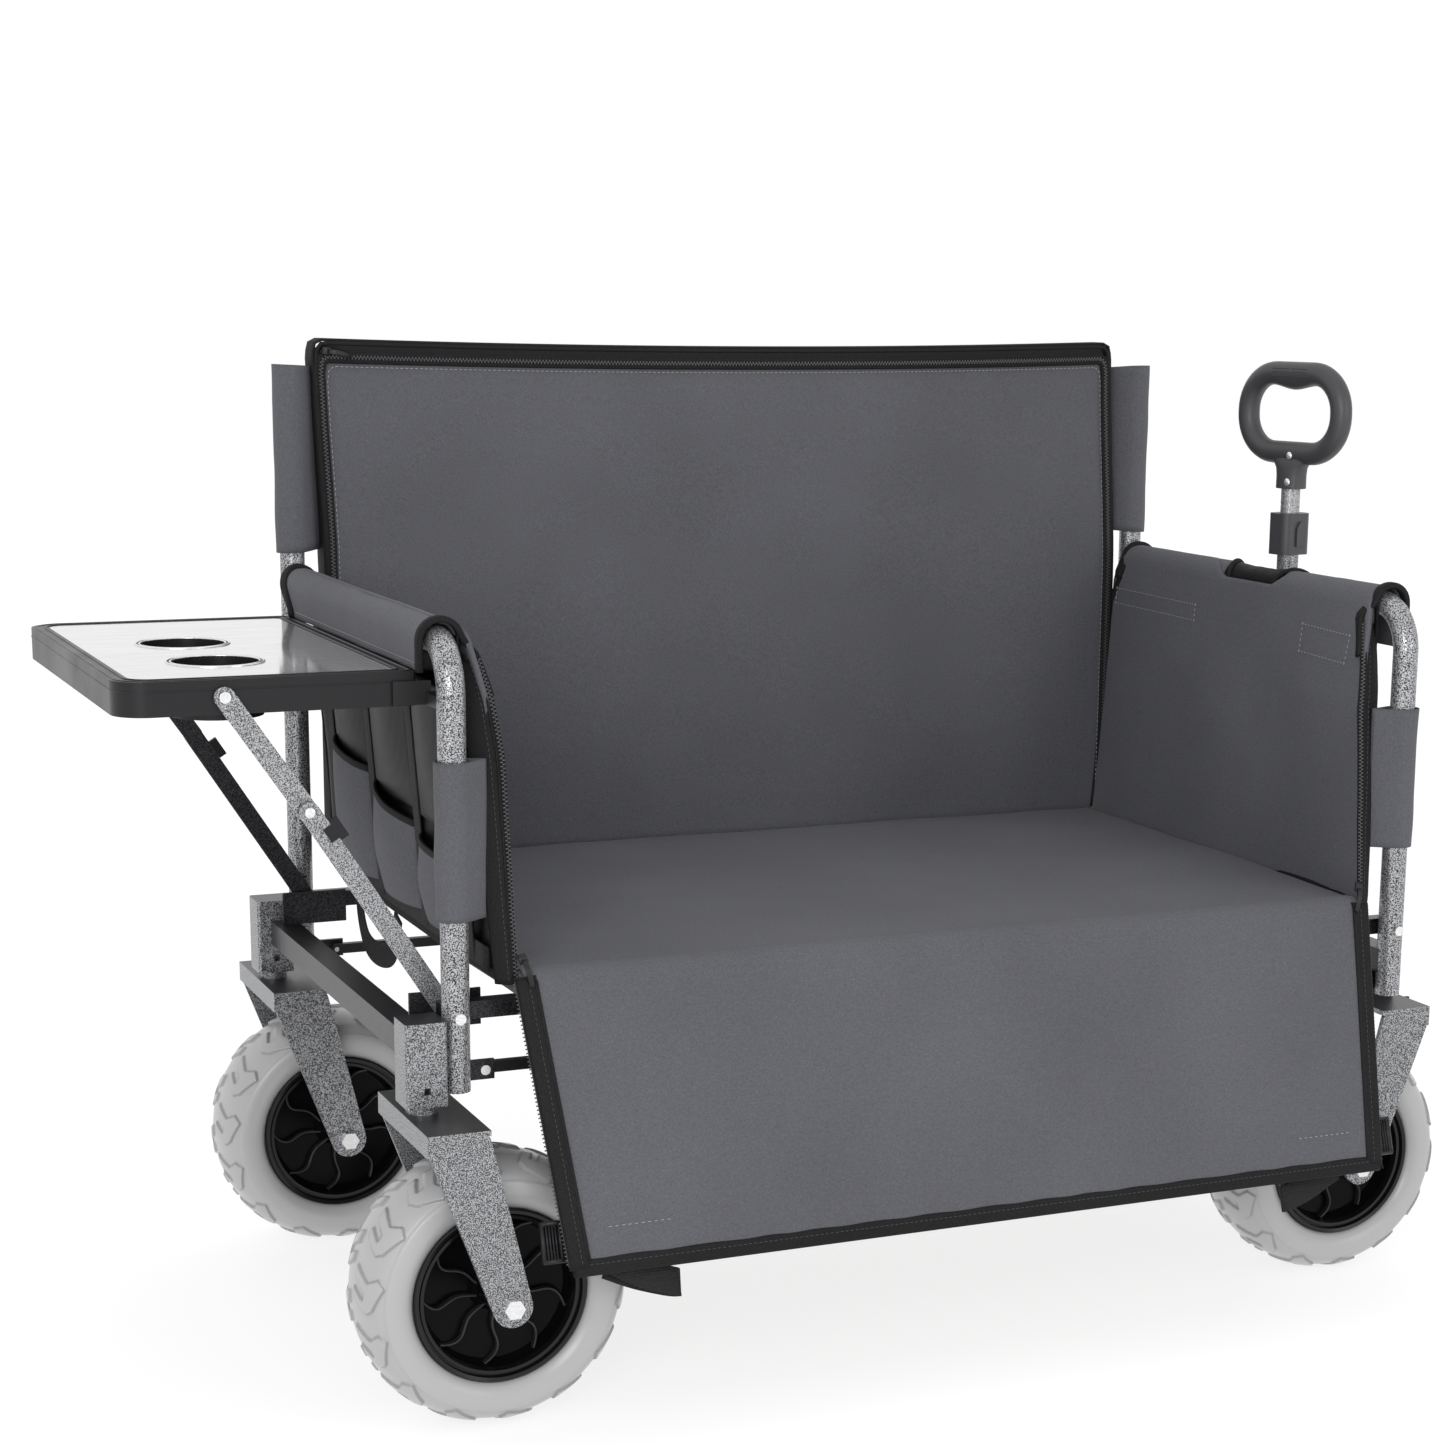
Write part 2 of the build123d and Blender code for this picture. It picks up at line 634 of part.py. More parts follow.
def handle_collar():
    inner_r = handle_tube_r - handle_tube_wall
    middle = (collar_low + collar_high) / 2
    plan = RectangleRounded(2 * collar_r, 2 * collar_r - 6, 10)
    body = Pos(0, 0, collar_low) * extrude(plan, amount=collar_high - collar_low)
    body -= rod_z(0, 0, collar_low - 1, handle_tube_top, handle_tube_r)
    body -= rod_z(0, 0, handle_tube_top - 1, collar_high + 1, inner_r + 0.1)
    pocket = Pos(0, 0, middle) * in_xz(button_outline(0.4), -collar_r - 5, -handle_tube_r - 0.2)
    return about_handle(body - pocket)


def handle_button():
    middle = (collar_low + collar_high) / 2
    outer = -(collar_r - 3) - 2.2
    button = Pos(0, 0, middle) * in_xz(button_outline(0), outer, -handle_tube_r - 0.4 - button_travel)
    return about_handle(button)


def handle_inner_tube():
    r = handle_tube_r - handle_tube_wall - slide_gap
    return ring_z(handle_x, 0, inner_bottom, inner_top, r, r - handle_tube_wall)


def handle_grip():
    """Closed loop grip on a neck, with two rivets and a thumb bulge."""
    loop_low = grip_top - 108.0
    mid_z = (grip_top + loop_low) / 2
    corner = 50.0
    outer = Pos(0, mid_z) * RectangleRounded(grip_width, grip_top - loop_low, corner)
    hole_h = grip_top - loop_low - 2 * 22.0
    hole = Pos(0, mid_z) * RectangleRounded(grip_width - 2 * grip_bar, hole_h, 26)
    bulge = Pos(0, mid_z + hole_h / 2 + grip_bulge_r - grip_bulge) * Circle(grip_bulge_r)
    neck = Pos(0, (grip_z + loop_low + 8) / 2) * Rectangle(34, loop_low + 8 - grip_z)
    outline = outer - hole + neck
    loop = in_xz(outline, -grip_t / 2, grip_t / 2)
    flats = loop.faces().filter_by(Axis.Y)
    loop = fillet(flats[0].edges() + flats[-1].edges(), grip_round)
    thumb = in_xz(bulge & (Pos(0, mid_z + 2) * Rectangle(grip_width - 2 * grip_bar, hole_h)),
                  -grip_t / 2 + 4, grip_t / 2 - 4)
    loop = Rot(0, 0, 90) * (loop + thumb)
    r = handle_tube_r - handle_tube_wall - slide_gap
    loop -= rod_z(0, 0, grip_z - 1, inner_top, r)
    for z in (grip_z + 13, grip_z + 34):
        rivet = Pos(-grip_t / 2 - 0.5, -6, z) * Rot(0, 90, 0) * Cylinder(4.5, 3)
        loop += rivet
    return about_handle(loop)


# ---- the whole wagon ------------------------------------------------------------
for side, word in ((-1, "left"), (1, "right")):
    add(f"{word}_front_post", front_post(side))
    add(f"{word}_back_post", back_post(side))
    add(f"{word}_rail_brackets", *rail_brackets(side))
    add(f"{word}_frame_rivets", *side_rivets(side))
    add(f"{word}_upper_rails", *upper_rails(side))
    add(f"{word}_lower_rails", *lower_rails(side))
    add(f"{word}_seat_board", seat_board(side))
    add(f"{word}_seat_pad", seat_pad(side))
    add(f"{word}_end_fabric", *end_fabric(side, notched=side > 0))
    add(f"{word}_backrest_sleeve", backrest_sleeve(side))

add("left_cross_tube", square_tube_y(-post_x - post_r - cross_size / 2, -post_y + housing / 2,
                                     post_y - housing / 2, cross_z, cross_size, tube_wall))
right_cross = square_tube_y(post_x, -post_y, post_y, cross_z, cross_size, tube_wall)
for way in (-1, 1):
    right_cross -= rod_z(post_x, way * post_y, cross_z - 40, cross_z + 40, post_r)
add("right_cross_tube", max(right_cross.solids(), key=lambda s: s.volume))

housings = []
for way in (-1, 1):
    half = housing / 2
    box = span((left_stem_x - half, left_stem_x + half), (way * post_y - half, way * post_y + half),
               (housing_low, housing_high))
    box = fillet(box.edges().filter_by(Axis.Z), 3)
    box -= span((left_stem_x - port, left_stem_x + port), (way * post_y - 2 * half, way * post_y + 2 * half),
                (port_z - port, port_z + port))
    housings.append(box - rod_z(left_stem_x, way * post_y, housing_low - 1, housing_high - 5, stem_r + pin_gap))
add("left_caster_housings", *housings)

mounts = []
for way in (-1, 1):
    y = way * right_stem_y
    mounts.append(span((post_x - 9, right_stem_x + 14), (y - housing / 2, y + housing / 2),
                       (fork_top, cross_z - cross_size / 2)))
add("right_fork_mounts", *mounts)

add("centre_plates", centre_plate(-1), centre_plate(1))
add("centre_bolts", *centre_bolts(-1), *centre_bolts(1))
add("backrest", backrest())
add("front_flap", front_flap())
add("flap_straps", *flap_straps())
add("flap_buckles", *flap_buckles())

add("table_top", table_top())
add("table_inlay", table_inlay())
add("table_brackets", *table_brackets())
add("brace_upper_links", *brace_upper_links())
add("brace_lower_links", *brace_lower_links())
add("brace_lock_clips", *brace_lock_clips())
add("brace_brackets", *brace_brackets())

stem_height = housing_high - 8 - fork_top
for way, word in ((-1, "front"), (1, "back")):
    left_y, right_y = way * post_y, way * right_stem_y
    add(f"left_{word}_fork", fork(left_stem_x, left_y, 1, stem_height))
    add(f"left_{word}_axle", axle_bolt(left_stem_x + trail, left_y))
    add(f"left_{word}_tyre", tyre(left_stem_x + trail, left_y))
    add(f"left_{word}_hub", hub(left_stem_x + trail, left_y))
    add(f"right_{word}_tyre", tyre(right_stem_x - trail, right_y))
    add(f"right_{word}_hub", hub(right_stem_x - trail, right_y))
    add(f"right_{word}_brake_pedal", brake_pedal(right_y))
add("right_forks", *[fork(right_stem_x, way * right_stem_y, -1, 0) for way in (-1, 1)])
add("right_axles", *[axle_bolt(right_stem_x - trail, way * right_stem_y) for way in (-1, 1)])
add("brake_pins", *brake_pins())

add("handle_bracket", handle_bracket())
add("handle_lower_tube", handle_lower_tube())
add("handle_collar", handle_collar())
add("handle_button", handle_button())
add("handle_inner_tube", handle_inner_tube())
add("handle_grip", handle_grip())


def export():
    """Write each sub-part with the origin at the bottom centre of the whole box."""
    boxes = [shape.bounding_box() for shape in parts.values()]
    low = [min(b.min.X for b in boxes), min(b.min.Y for b in boxes)]
    high = [max(b.max.X for b in boxes), max(b.max.Y for b in boxes)]
    shift = Pos(-(low[0] + high[0]) / 2, -(low[1] + high[1]) / 2, 0)
    os.makedirs("parts", exist_ok=True)
    for name, shape in parts.items():
        export_step(shift * shape, f"parts/{name}.step")
    print("origin in bench coordinates:", (low[0] + high[0]) / 2, (low[1] + high[1]) / 2, "nodes:", len(parts))


export()
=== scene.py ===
import math

import bpy
import numpy as np
from mathutils import Matrix, Vector, noise


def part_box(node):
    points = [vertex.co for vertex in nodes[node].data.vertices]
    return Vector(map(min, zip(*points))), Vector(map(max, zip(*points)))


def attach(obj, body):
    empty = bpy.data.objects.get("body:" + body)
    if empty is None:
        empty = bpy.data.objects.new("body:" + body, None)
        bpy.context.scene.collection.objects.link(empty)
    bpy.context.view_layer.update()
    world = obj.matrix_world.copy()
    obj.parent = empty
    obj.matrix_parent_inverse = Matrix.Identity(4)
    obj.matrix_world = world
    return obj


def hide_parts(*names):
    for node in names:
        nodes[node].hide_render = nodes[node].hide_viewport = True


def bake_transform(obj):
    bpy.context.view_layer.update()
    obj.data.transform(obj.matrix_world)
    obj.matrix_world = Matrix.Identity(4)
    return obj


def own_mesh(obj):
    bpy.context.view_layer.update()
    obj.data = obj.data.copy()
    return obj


# A folding pull wagon set up as a bench. Metres, Z up, in the CAD frame.
# Places are given about the bench's middle, which at() turns into the frame's.

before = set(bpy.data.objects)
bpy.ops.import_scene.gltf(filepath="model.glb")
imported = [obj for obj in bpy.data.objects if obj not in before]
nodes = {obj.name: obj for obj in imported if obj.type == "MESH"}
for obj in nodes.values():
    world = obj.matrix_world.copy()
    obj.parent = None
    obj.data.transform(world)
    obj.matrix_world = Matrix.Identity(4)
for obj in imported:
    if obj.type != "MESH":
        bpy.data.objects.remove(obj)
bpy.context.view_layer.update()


def middle(node):
    low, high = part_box(node)
    return (low + high) / 2


def half_span(node, axis):
    """Half a node's size along an axis."""
    low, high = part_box(node)
    return (high[axis] - low[axis]) / 2


# ---- driving places, read from the frame -------------------------------------
sides = ((-1, "left"), (1, "right"))
tube_r = half_span("left_back_post", 0)
mid_x = (middle("left_back_post").x + middle("right_back_post").x) / 2
back_y = middle("left_back_post").y
mid_y = (back_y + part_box("left_front_post")[0].y + tube_r) / 2
post_x = middle("right_back_post").x - mid_x
post_y = back_y - mid_y
arm_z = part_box("left_front_post")[1].z - tube_r
pad_low, pad_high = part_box("left_seat_pad")
seat_low, seat_top = pad_low.z, pad_high.z
pad_front, pad_end = pad_low.y - mid_y, mid_x - pad_low.x
backrest_low, backrest_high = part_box("backrest")
rest_front, rest_back = backrest_low.y - mid_y, backrest_high.y - mid_y
rest_low, rest_top = backrest_low.z, backrest_high.z
rest_half = backrest_high.x - mid_x
table_low, table_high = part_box("table_top")


def at(x, y, z):
    """A point given about the bench's middle."""
    return Vector((mid_x + x, mid_y + y, z))


# ---- mesh helpers --------------------------------------------------------------
def mesh_piece(name, verts, faces, material, smooth=True):
    mesh = bpy.data.meshes.new(name)
    mesh.from_pydata([tuple(v) for v in verts], [], [tuple(f) for f in faces])
    mesh.validate()
    mesh.update()
    mesh.polygons.foreach_set("use_smooth", [smooth] * len(mesh.polygons))
    mesh.materials.append(material)
    obj = bpy.data.objects.new(name, mesh)
    bpy.context.scene.collection.objects.link(obj)
    return obj


def grid_faces(nu, nv, wrap_u=False, wrap_v=False):
    """Quads of a grid whose vertex (i, j) has index i * nv + j."""
    faces = []
    for i in range(nu if wrap_u else nu - 1):
        for j in range(nv if wrap_v else nv - 1):
            a, b = i * nv + j, ((i + 1) % nu) * nv + j
            c, d = ((i + 1) % nu) * nv + (j + 1) % nv, i * nv + (j + 1) % nv
            faces.append((a, b, c, d))
    return faces


def grid_rim(nu, nv):
    """Vertex indices round a grid's outer edge, in order."""
    return ([i * nv for i in range(nu)] + [(nu - 1) * nv + j for j in range(1, nv)]
            + [i * nv + nv - 1 for i in range(nu - 2, -1, -1)] + list(range(nv - 2, 0, -1)))


def cloth_grid(name, point, nu, nv, thickness, material):
    """A sheet whose middle surface is point(u, v), given a real thickness."""
    verts = [point(i / (nu - 1), j / (nv - 1)) for i in range(nu) for j in range(nv)]
    obj = mesh_piece(name, verts, grid_faces(nu, nv), material)
    solid = obj.modifiers.new("thick", "SOLIDIFY")
    solid.thickness = thickness
    solid.offset = 0.0
    return freeze(obj)


def freeze(obj):
    """Apply every modifier."""
    depsgraph = bpy.context.evaluated_depsgraph_get()
    mesh = bpy.data.meshes.new_from_object(obj.evaluated_get(depsgraph))
    obj.modifiers.clear()
    obj.data = mesh
    return obj


def sharpened(obj, degrees):
    """Split the edges that bend more than this, so that they shade sharp."""
    edges = obj.modifiers.new("edges", "EDGE_SPLIT")
    edges.split_angle = math.radians(degrees)
    return freeze(obj)


def joined(name, pieces):
    """Several pieces as one object, with their materials."""
    bpy.ops.object.select_all(action="DESELECT")
    for p in pieces:
        p.select_set(True)
    bpy.context.view_layer.objects.active = pieces[0]
    bpy.ops.object.join()
    pieces[0].name = name
    pieces[0].data.name = name
    return pieces[0]


def curve_through(points, steps=12):
    """Smooth points through the given ones (Catmull-Rom)."""
    p = [Vector(q) for q in points]
    p = [2 * p[0] - p[1]] + p + [2 * p[-1] - p[-2]]
    out = []
    for a, b, c, d in zip(p, p[1:], p[2:], p[3:]):
        for k in range(steps):
            t = k / steps
            out.append(0.5 * ((2 * b) + (c - a) * t + (2 * a - 5 * b + 4 * c - d) * t * t
                              + (3 * b - a - 3 * c + d) * t ** 3))
    return out + [p[-2]]


def spaced(points, step):
    """Points about a step apart along a line of points."""
    p = [Vector(q) for q in points]
    run = [0.0]
    for a, b in zip(p, p[1:]):
        run.append(run[-1] + (b - a).length)
    count = max(2, int(round(run[-1] / step)) + 1)
    out, k = [], 0
    for i in range(count):
        s = run[-1] * i / (count - 1)
        while k < len(run) - 2 and run[k + 1] < s:
            k += 1
        t = (s - run[k]) / max(1e-9, run[k + 1] - run[k])
        out.append(p[k].lerp(p[k + 1], min(1.0, t)))
    return out


def frames_along(points, up, closed=False):
    """(side, up, ahead) unit vectors at each point; up is a vector or a function."""
    n = len(points)
    out = []
    for i in range(n):
        before = points[(i - 1) % n] if closed else points[max(0, i - 1)]
        after = points[(i + 1) % n] if closed else points[min(n - 1, i + 1)]
        ahead = (after - before).normalized()
        want = Vector(up(i, points[i])) if callable(up) else Vector(up)
        side = ahead.cross(want).normalized()
        out.append((side, side.cross(ahead).normalized(), ahead))
    return out


def sweep(name, points, section, up, material, closed=False):
    """A section of (side, up) pairs carried along points."""
    points = [Vector(p) for p in points]
    verts, m = [], len(section)
    for p, (side, top, _) in zip(points, frames_along(points, up, closed)):
        verts += [p + side * a + top * b for a, b in section]
    faces = grid_faces(len(points), m, wrap_u=closed, wrap_v=True)
    if not closed:
        faces.append(tuple(range(m)))
        faces.append(tuple(reversed(range((len(points) - 1) * m, len(points) * m))))
    return mesh_piece(name, verts, faces, material)


def round_section(width, height, corner=None, steps=3):
    """Rounded rectangle as (side, up) pairs."""
    r = min(width, height) / 2 * 0.98 if corner is None else corner
    out = []
    for cx, cy, start in ((1, 1, 0), (-1, 1, 90), (-1, -1, 180), (1, -1, 270)):
        for k in range(steps + 1):
            a = math.radians(start + 90 * k / steps)
            out.append((cx * (width / 2 - r) + r * math.cos(a), cy * (height / 2 - r) + r * math.sin(a)))
    return out


def circle_section(r, steps=16):
    turns = [2 * math.pi * k / steps for k in range(steps)]
    return [(r * math.cos(a), r * math.sin(a)) for a in turns]


def tape(name, points, width, thickness, up, material):
    """Flat woven tape lying across up."""
    return sweep(name, points, round_section(width, thickness), up, material)


def scatter(name, verts, faces, places, material, smooth=False):
    """One mesh with a copy of a small shape at each 4x4 matrix."""
    base = np.array(verts, float)
    stack = np.array([np.array(m, float) for m in places])
    points = np.einsum("nij,vj->nvi", stack[:, :3, :3], base) + stack[:, None, :3, 3]
    allfaces = [tuple(i + k * len(base) for i in f) for k in range(len(places)) for f in faces]
    return mesh_piece(name, points.reshape(-1, 3), allfaces, material, smooth)


def block(x, y, z, cut=0.25):
    """Small box with its top edges cut back: vertices and faces."""
    c = 1 - cut
    low = [(-x, -y, 0), (x, -y, 0), (x, y, 0), (-x, y, 0)]
    half = [(px, py, z * 0.6) for px, py, _ in low]
    top = [(px * c, py * c, z) for px, py, _ in low]
    faces = [(3, 2, 1, 0), (8, 9, 10, 11)]
    for ring in (0, 4):
        faces += [(ring + i, ring + (i + 1) % 4, ring + 4 + (i + 1) % 4, ring + 4 + i) for i in range(4)]
    return low + half + top, faces


def basis(p, ahead, side, up):
    m = Matrix.Identity(4)
    for k, v in enumerate((ahead, side, up)):
        m[0][k], m[1][k], m[2][k] = v.x, v.y, v.z
    m[0][3], m[1][3], m[2][3] = p.x, p.y, p.z
    return m


def row_of(name, points, up, pitch, shape, material, off_up=0.0, alternate=0.0):
    """Small shapes spaced along a line: teeth or stitches."""
    line = spaced(points, pitch)
    places = []
    for i, (p, (side, top, ahead)) in enumerate(zip(line, frames_along(line, up))):
        shift = alternate if i % 2 else -alternate
        places.append(basis(p + side * shift + top * off_up, ahead, side, top))
    return scatter(name, *shape, places, material)


# ---- materials --------------------------------------------------------------------
def new_material(name, colour, rough, metallic=0.0, sheen=0.0, coat=0.0, specular=0.5):
    mat = bpy.data.materials.new(name)
    mat.use_nodes = True
    shader = mat.node_tree.nodes["Principled BSDF"]
    shader.inputs["Base Color"].default_value = (*colour, 1)
    shader.inputs["Roughness"].default_value = rough
    shader.inputs["Metallic"].default_value = metallic
    shader.inputs["Sheen Weight"].default_value = sheen
    shader.inputs["Sheen Roughness"].default_value = 0.5
    shader.inputs["Coat Weight"].default_value = coat
    shader.inputs["Specular IOR Level"].default_value = specular
    return mat, shader


def node(mat, kind, **values):
    n = mat.node_tree.nodes.new(kind)
    for key, value in values.items():
        if key in n.inputs:
            n.inputs[key].default_value = value
        else:
            setattr(n, key, value)
    return n


def wire(mat, out, into):
    mat.node_tree.links.new(out, into)


def place_of(mat, scale=(1, 1, 1)):
    """Object coordinates, stretched."""
    where = node(mat, "ShaderNodeTexCoord")
    stretch = node(mat, "ShaderNodeMapping")
    stretch.inputs["Scale"].default_value = scale
    wire(mat, where.outputs["Object"], stretch.inputs["Vector"])
    return stretch.outputs["Vector"]


def noise_of(mat, scale, detail=2.0, rough=0.5, stretch=(1, 1, 1)):
    n = node(mat, "ShaderNodeTexNoise", Scale=scale, Detail=detail, Roughness=rough)
    wire(mat, place_of(mat, stretch), n.inputs["Vector"])
    return n.outputs["Fac"]


def ramp(mat, value, stops):
    """Colour ramp; stops are (position, colour)."""
    r = node(mat, "ShaderNodeValToRGB")
    while len(r.color_ramp.elements) < len(stops):
        r.color_ramp.elements.new(0.5)
    for e, (pos, colour) in zip(r.color_ramp.elements, stops):
        e.position = pos
        e.color = (*colour, 1)
    wire(mat, value, r.inputs["Fac"])
    return r.outputs["Color"]


def maths(mat, how, a, b):
    m = node(mat, "ShaderNodeMath", operation=how)
    for i, x in enumerate((a, b)):
        if isinstance(x, (int, float)):
            m.inputs[i].default_value = x
        else:
            wire(mat, x, m.inputs[i])
    return m.outputs[0]


def bump(mat, shader, height, strength, distance):
    b = node(mat, "ShaderNodeBump", Strength=strength, Distance=distance)
    wire(mat, height, b.inputs["Height"])
    wire(mat, b.outputs["Normal"], shader.inputs["Normal"])


def threads(mat, pitch):
    """Sum of fine bands along each axis: crossed threads on any flat face."""
    total = None
    for axis in "XYZ":
        w = node(mat, "ShaderNodeTexWave", Scale=math.pi / (10 * pitch), Distortion=0.4, Detail=1.0)
        w.bands_direction = axis
        wire(mat, place_of(mat), w.inputs["Vector"])
        total = w.outputs["Fac"] if total is None else maths(mat, "ADD", total, w.outputs["Fac"])
    return total


def shades(colour, *factors):
    return [tuple(c * f for c in colour) for f in factors]


def woven(name, colour, rough=0.85, pitch=0.0011, sheen=0.0, speck=0.16, depth=0.00035, specular=0.3):
    """Woven cloth: crossed threads, mottled yarn and slow shade changes."""
    mat, shader = new_material(name, colour, rough, sheen=sheen, specular=specular)
    yarn = noise_of(mat, 620, 3.0, 0.7)
    slow = noise_of(mat, 5, 2.0)
    mixed = maths(mat, "ADD", maths(mat, "MULTIPLY", yarn, 0.75), maths(mat, "MULTIPLY", slow, 0.25))
    dark, base, light = shades(colour, 1 - speck * 2, 1.0, 1 + speck * 2.6)
    wire(mat, ramp(mat, mixed, [(0.30, dark), (0.5, base), (0.72, light)]), shader.inputs["Base Color"])
    height = maths(mat, "ADD", threads(mat, pitch), maths(mat, "MULTIPLY", yarn, 1.5))
    bump(mat, shader, height, 0.35, depth)
    return mat


def hammered(name, light, dark, grain, rough=0.34, split=0.5, painted_reflection_top=False):
    """Hammertone powder coat: worm-like dark flecks in silver, and dimples; painted_reflection_top darkens
    level faces with a painted dark reflection.
    """
    mat, shader = new_material(name, light, rough, metallic=0.55)
    flecks = noise_of(mat, grain, 2.5, 0.6)
    colour = ramp(mat, flecks, [(split - 0.045, dark), (split + 0.055, light)])
    if painted_reflection_top:
        # Faces whose normal points up get a painted dark reflection: a darker copy of the fleck colour.
        split_normal = node(mat, "ShaderNodeSeparateXYZ")
        wire(mat, node(mat, "ShaderNodeNewGeometry").outputs["Normal"], split_normal.inputs[0])
        flat = maths(mat, "GREATER_THAN", split_normal.outputs["Z"], 0.9)
        mix = node(mat, "ShaderNodeMix", data_type="RGBA")
        wire(mat, flat, mix.inputs[0])
        wire(mat, colour, mix.inputs[6])
        mix.inputs[7].default_value = (*shades(dark, 0.9)[0], 1)
        colour = mix.outputs[2]
    wire(mat, colour, shader.inputs["Base Color"])
    bump(mat, shader, flecks, 0.3, 0.0006)
    return mat


def between(mat, value, colour, less, more):
    """The colour, less or more bright with a noise value."""
    return ramp(mat, value, list(zip((0.3, 0.7), shades(colour, less, more))))


def moulded(name, colour, rough, grain=900, depth=0.00012, specular=0.5):
    """Moulded plastic: fine spark-eroded grain and slightly uneven gloss."""
    mat, shader = new_material(name, colour, rough, specular=specular)
    fine = noise_of(mat, grain, 2.0)
    wire(mat, between(mat, noise_of(mat, 12, 3.0), (rough,) * 3, 0.85, 1.15), shader.inputs["Roughness"])
    wire(mat, between(mat, fine, colour, 0.88, 1.12), shader.inputs["Base Color"])
    bump(mat, shader, fine, 0.25, depth)
    return mat


def brushed(name, colour, rough, stretch, relief=0.12):
    """Brushed metal: long fine scratches along one axis."""
    mat, shader = new_material(name, colour, rough, 0.75)
    lines = noise_of(mat, 300, 4.0, 0.6, stretch)
    wire(mat, between(mat, lines, colour, 0.82, 1.1), shader.inputs["Base Color"])
    wire(mat, between(mat, lines, (rough,) * 3, 0.8, 1.3), shader.inputs["Roughness"])
    bump(mat, shader, lines, relief, 0.0001)
    return mat


grey = (0.086, 0.087, 0.098)
fabric = woven("fabric_grey", grey, sheen=0.05, speck=0.15)
binding = woven("binding_black", (0.0085, 0.0085, 0.0092), 0.75, 0.0016, speck=0.3, specular=0.2)
lining = woven("lining_black", (0.0060, 0.0060, 0.0068), 0.6, 0.0014, speck=0.25, specular=0.2)
webbing = woven("webbing_black", (0.0100, 0.0100, 0.0107), 0.65, 0.0022, speck=0.35, depth=0.0008,
                specular=0.25)
thread, _ = new_material("thread_grey", (0.30, 0.30, 0.32), 0.7)
dark_thread, _ = new_material("thread_dark", (0.040, 0.040, 0.043), 0.6)
teeth, _ = new_material("zip_teeth", (0.060, 0.060, 0.063), 0.3)
tube_paint = hammered("hammertone_silver", (0.46, 0.465, 0.48), (0.020, 0.020, 0.022), 760, 0.3, 0.485)
# The level top faces of the forks, housings and lower handle tube carry a painted dark reflection.
plate_paint = hammered("hammertone_grey", (0.40, 0.405, 0.42), (0.045, 0.046, 0.05), 900, painted_reflection_top=True)
strut_paint = hammered("hammertone_strut", (0.44, 0.445, 0.46), (0.07, 0.071, 0.075), 900, split=0.49)
# Dark hammertone: the real dark paint of the cross tubes, rails and brackets, and also painted shade on the
# brace links' back faces.
dark_paint_and_shade = hammered("hammertone_dark_and_shade", (0.050, 0.050, 0.055), (0.009, 0.009, 0.011), 900)
black_paint = moulded("black_powder_coat", (0.010, 0.010, 0.011), 0.42, 700, 0.0002, specular=0.35)
steel = brushed("zinc_steel", (0.78, 0.78, 0.78), 0.22, (1, 1, 6))
plastic = moulded("satin_black_plastic", (0.0095, 0.0095, 0.011), 0.36, specular=0.3)
grip_plastic = moulded("grip_plastic", (0.040, 0.040, 0.045), 0.42)
hub_paint = moulded("hub_gloss_black", (0.0035, 0.0035, 0.004), 0.22, 500, 0.00004, specular=0.07)
# The ribs are the dish's own gloss plastic, made a lighter black as a painted highlight on their raised
# edges.
rib_highlight_paint = moulded("hub_rib_painted_highlight", (0.020, 0.020, 0.022), 0.3, 500, 0.00004, specular=0.3)
rim_paint = moulded("hub_rim_black", (0.006, 0.006, 0.0065), 0.2, 500, 0.00004, specular=0.3)
inlay_metal = brushed("inlay_brushed", (0.70, 0.70, 0.71), 0.09, (0.05, 1, 1), 0.01)
bright_tube = hammered("inner_tube_silver", (0.50, 0.50, 0.51), (0.13, 0.13, 0.135), 900)
board = moulded("hardboard", (0.10, 0.065, 0.04), 0.8, 300)


def tyre_finish():
    """Smooth light-grey rubber whose tread edges are darkened with painted shade."""
    mat, shader = new_material("tyre_grey", (0.37, 0.37, 0.375), 0.30, coat=0.08)
    edge = node(mat, "ShaderNodeAttribute", attribute_name="edge")
    wire(mat, ramp(mat, edge.outputs["Fac"], [(0.0, (0.37, 0.37, 0.375)), (1.0, (0.25, 0.25, 0.255))]),
         shader.inputs["Base Color"])
    bump(mat, shader, noise_of(mat, 30, 2.0), 0.15, 0.0004)
    return mat


def net():
    """Knitted net, drawn as small round cells sunk in black cloth."""
    mat, shader = new_material("netting_black", (0.004, 0.004, 0.0045), 0.45, specular=0.15)
    cells = node(mat, "ShaderNodeTexVoronoi", Scale=420, Randomness=0.15)
    wire(mat, place_of(mat), cells.inputs["Vector"])
    shade = ramp(mat, cells.outputs["Distance"],
                 [(0.30, (0.012, 0.012, 0.013)), (0.42, (0.002, 0.002, 0.0022))])
    wire(mat, shade, shader.inputs["Base Color"])
    bump(mat, shader, cells.outputs["Distance"], 0.3, 0.0003)
    return mat


tyre_paint = tyre_finish()
netting = net()

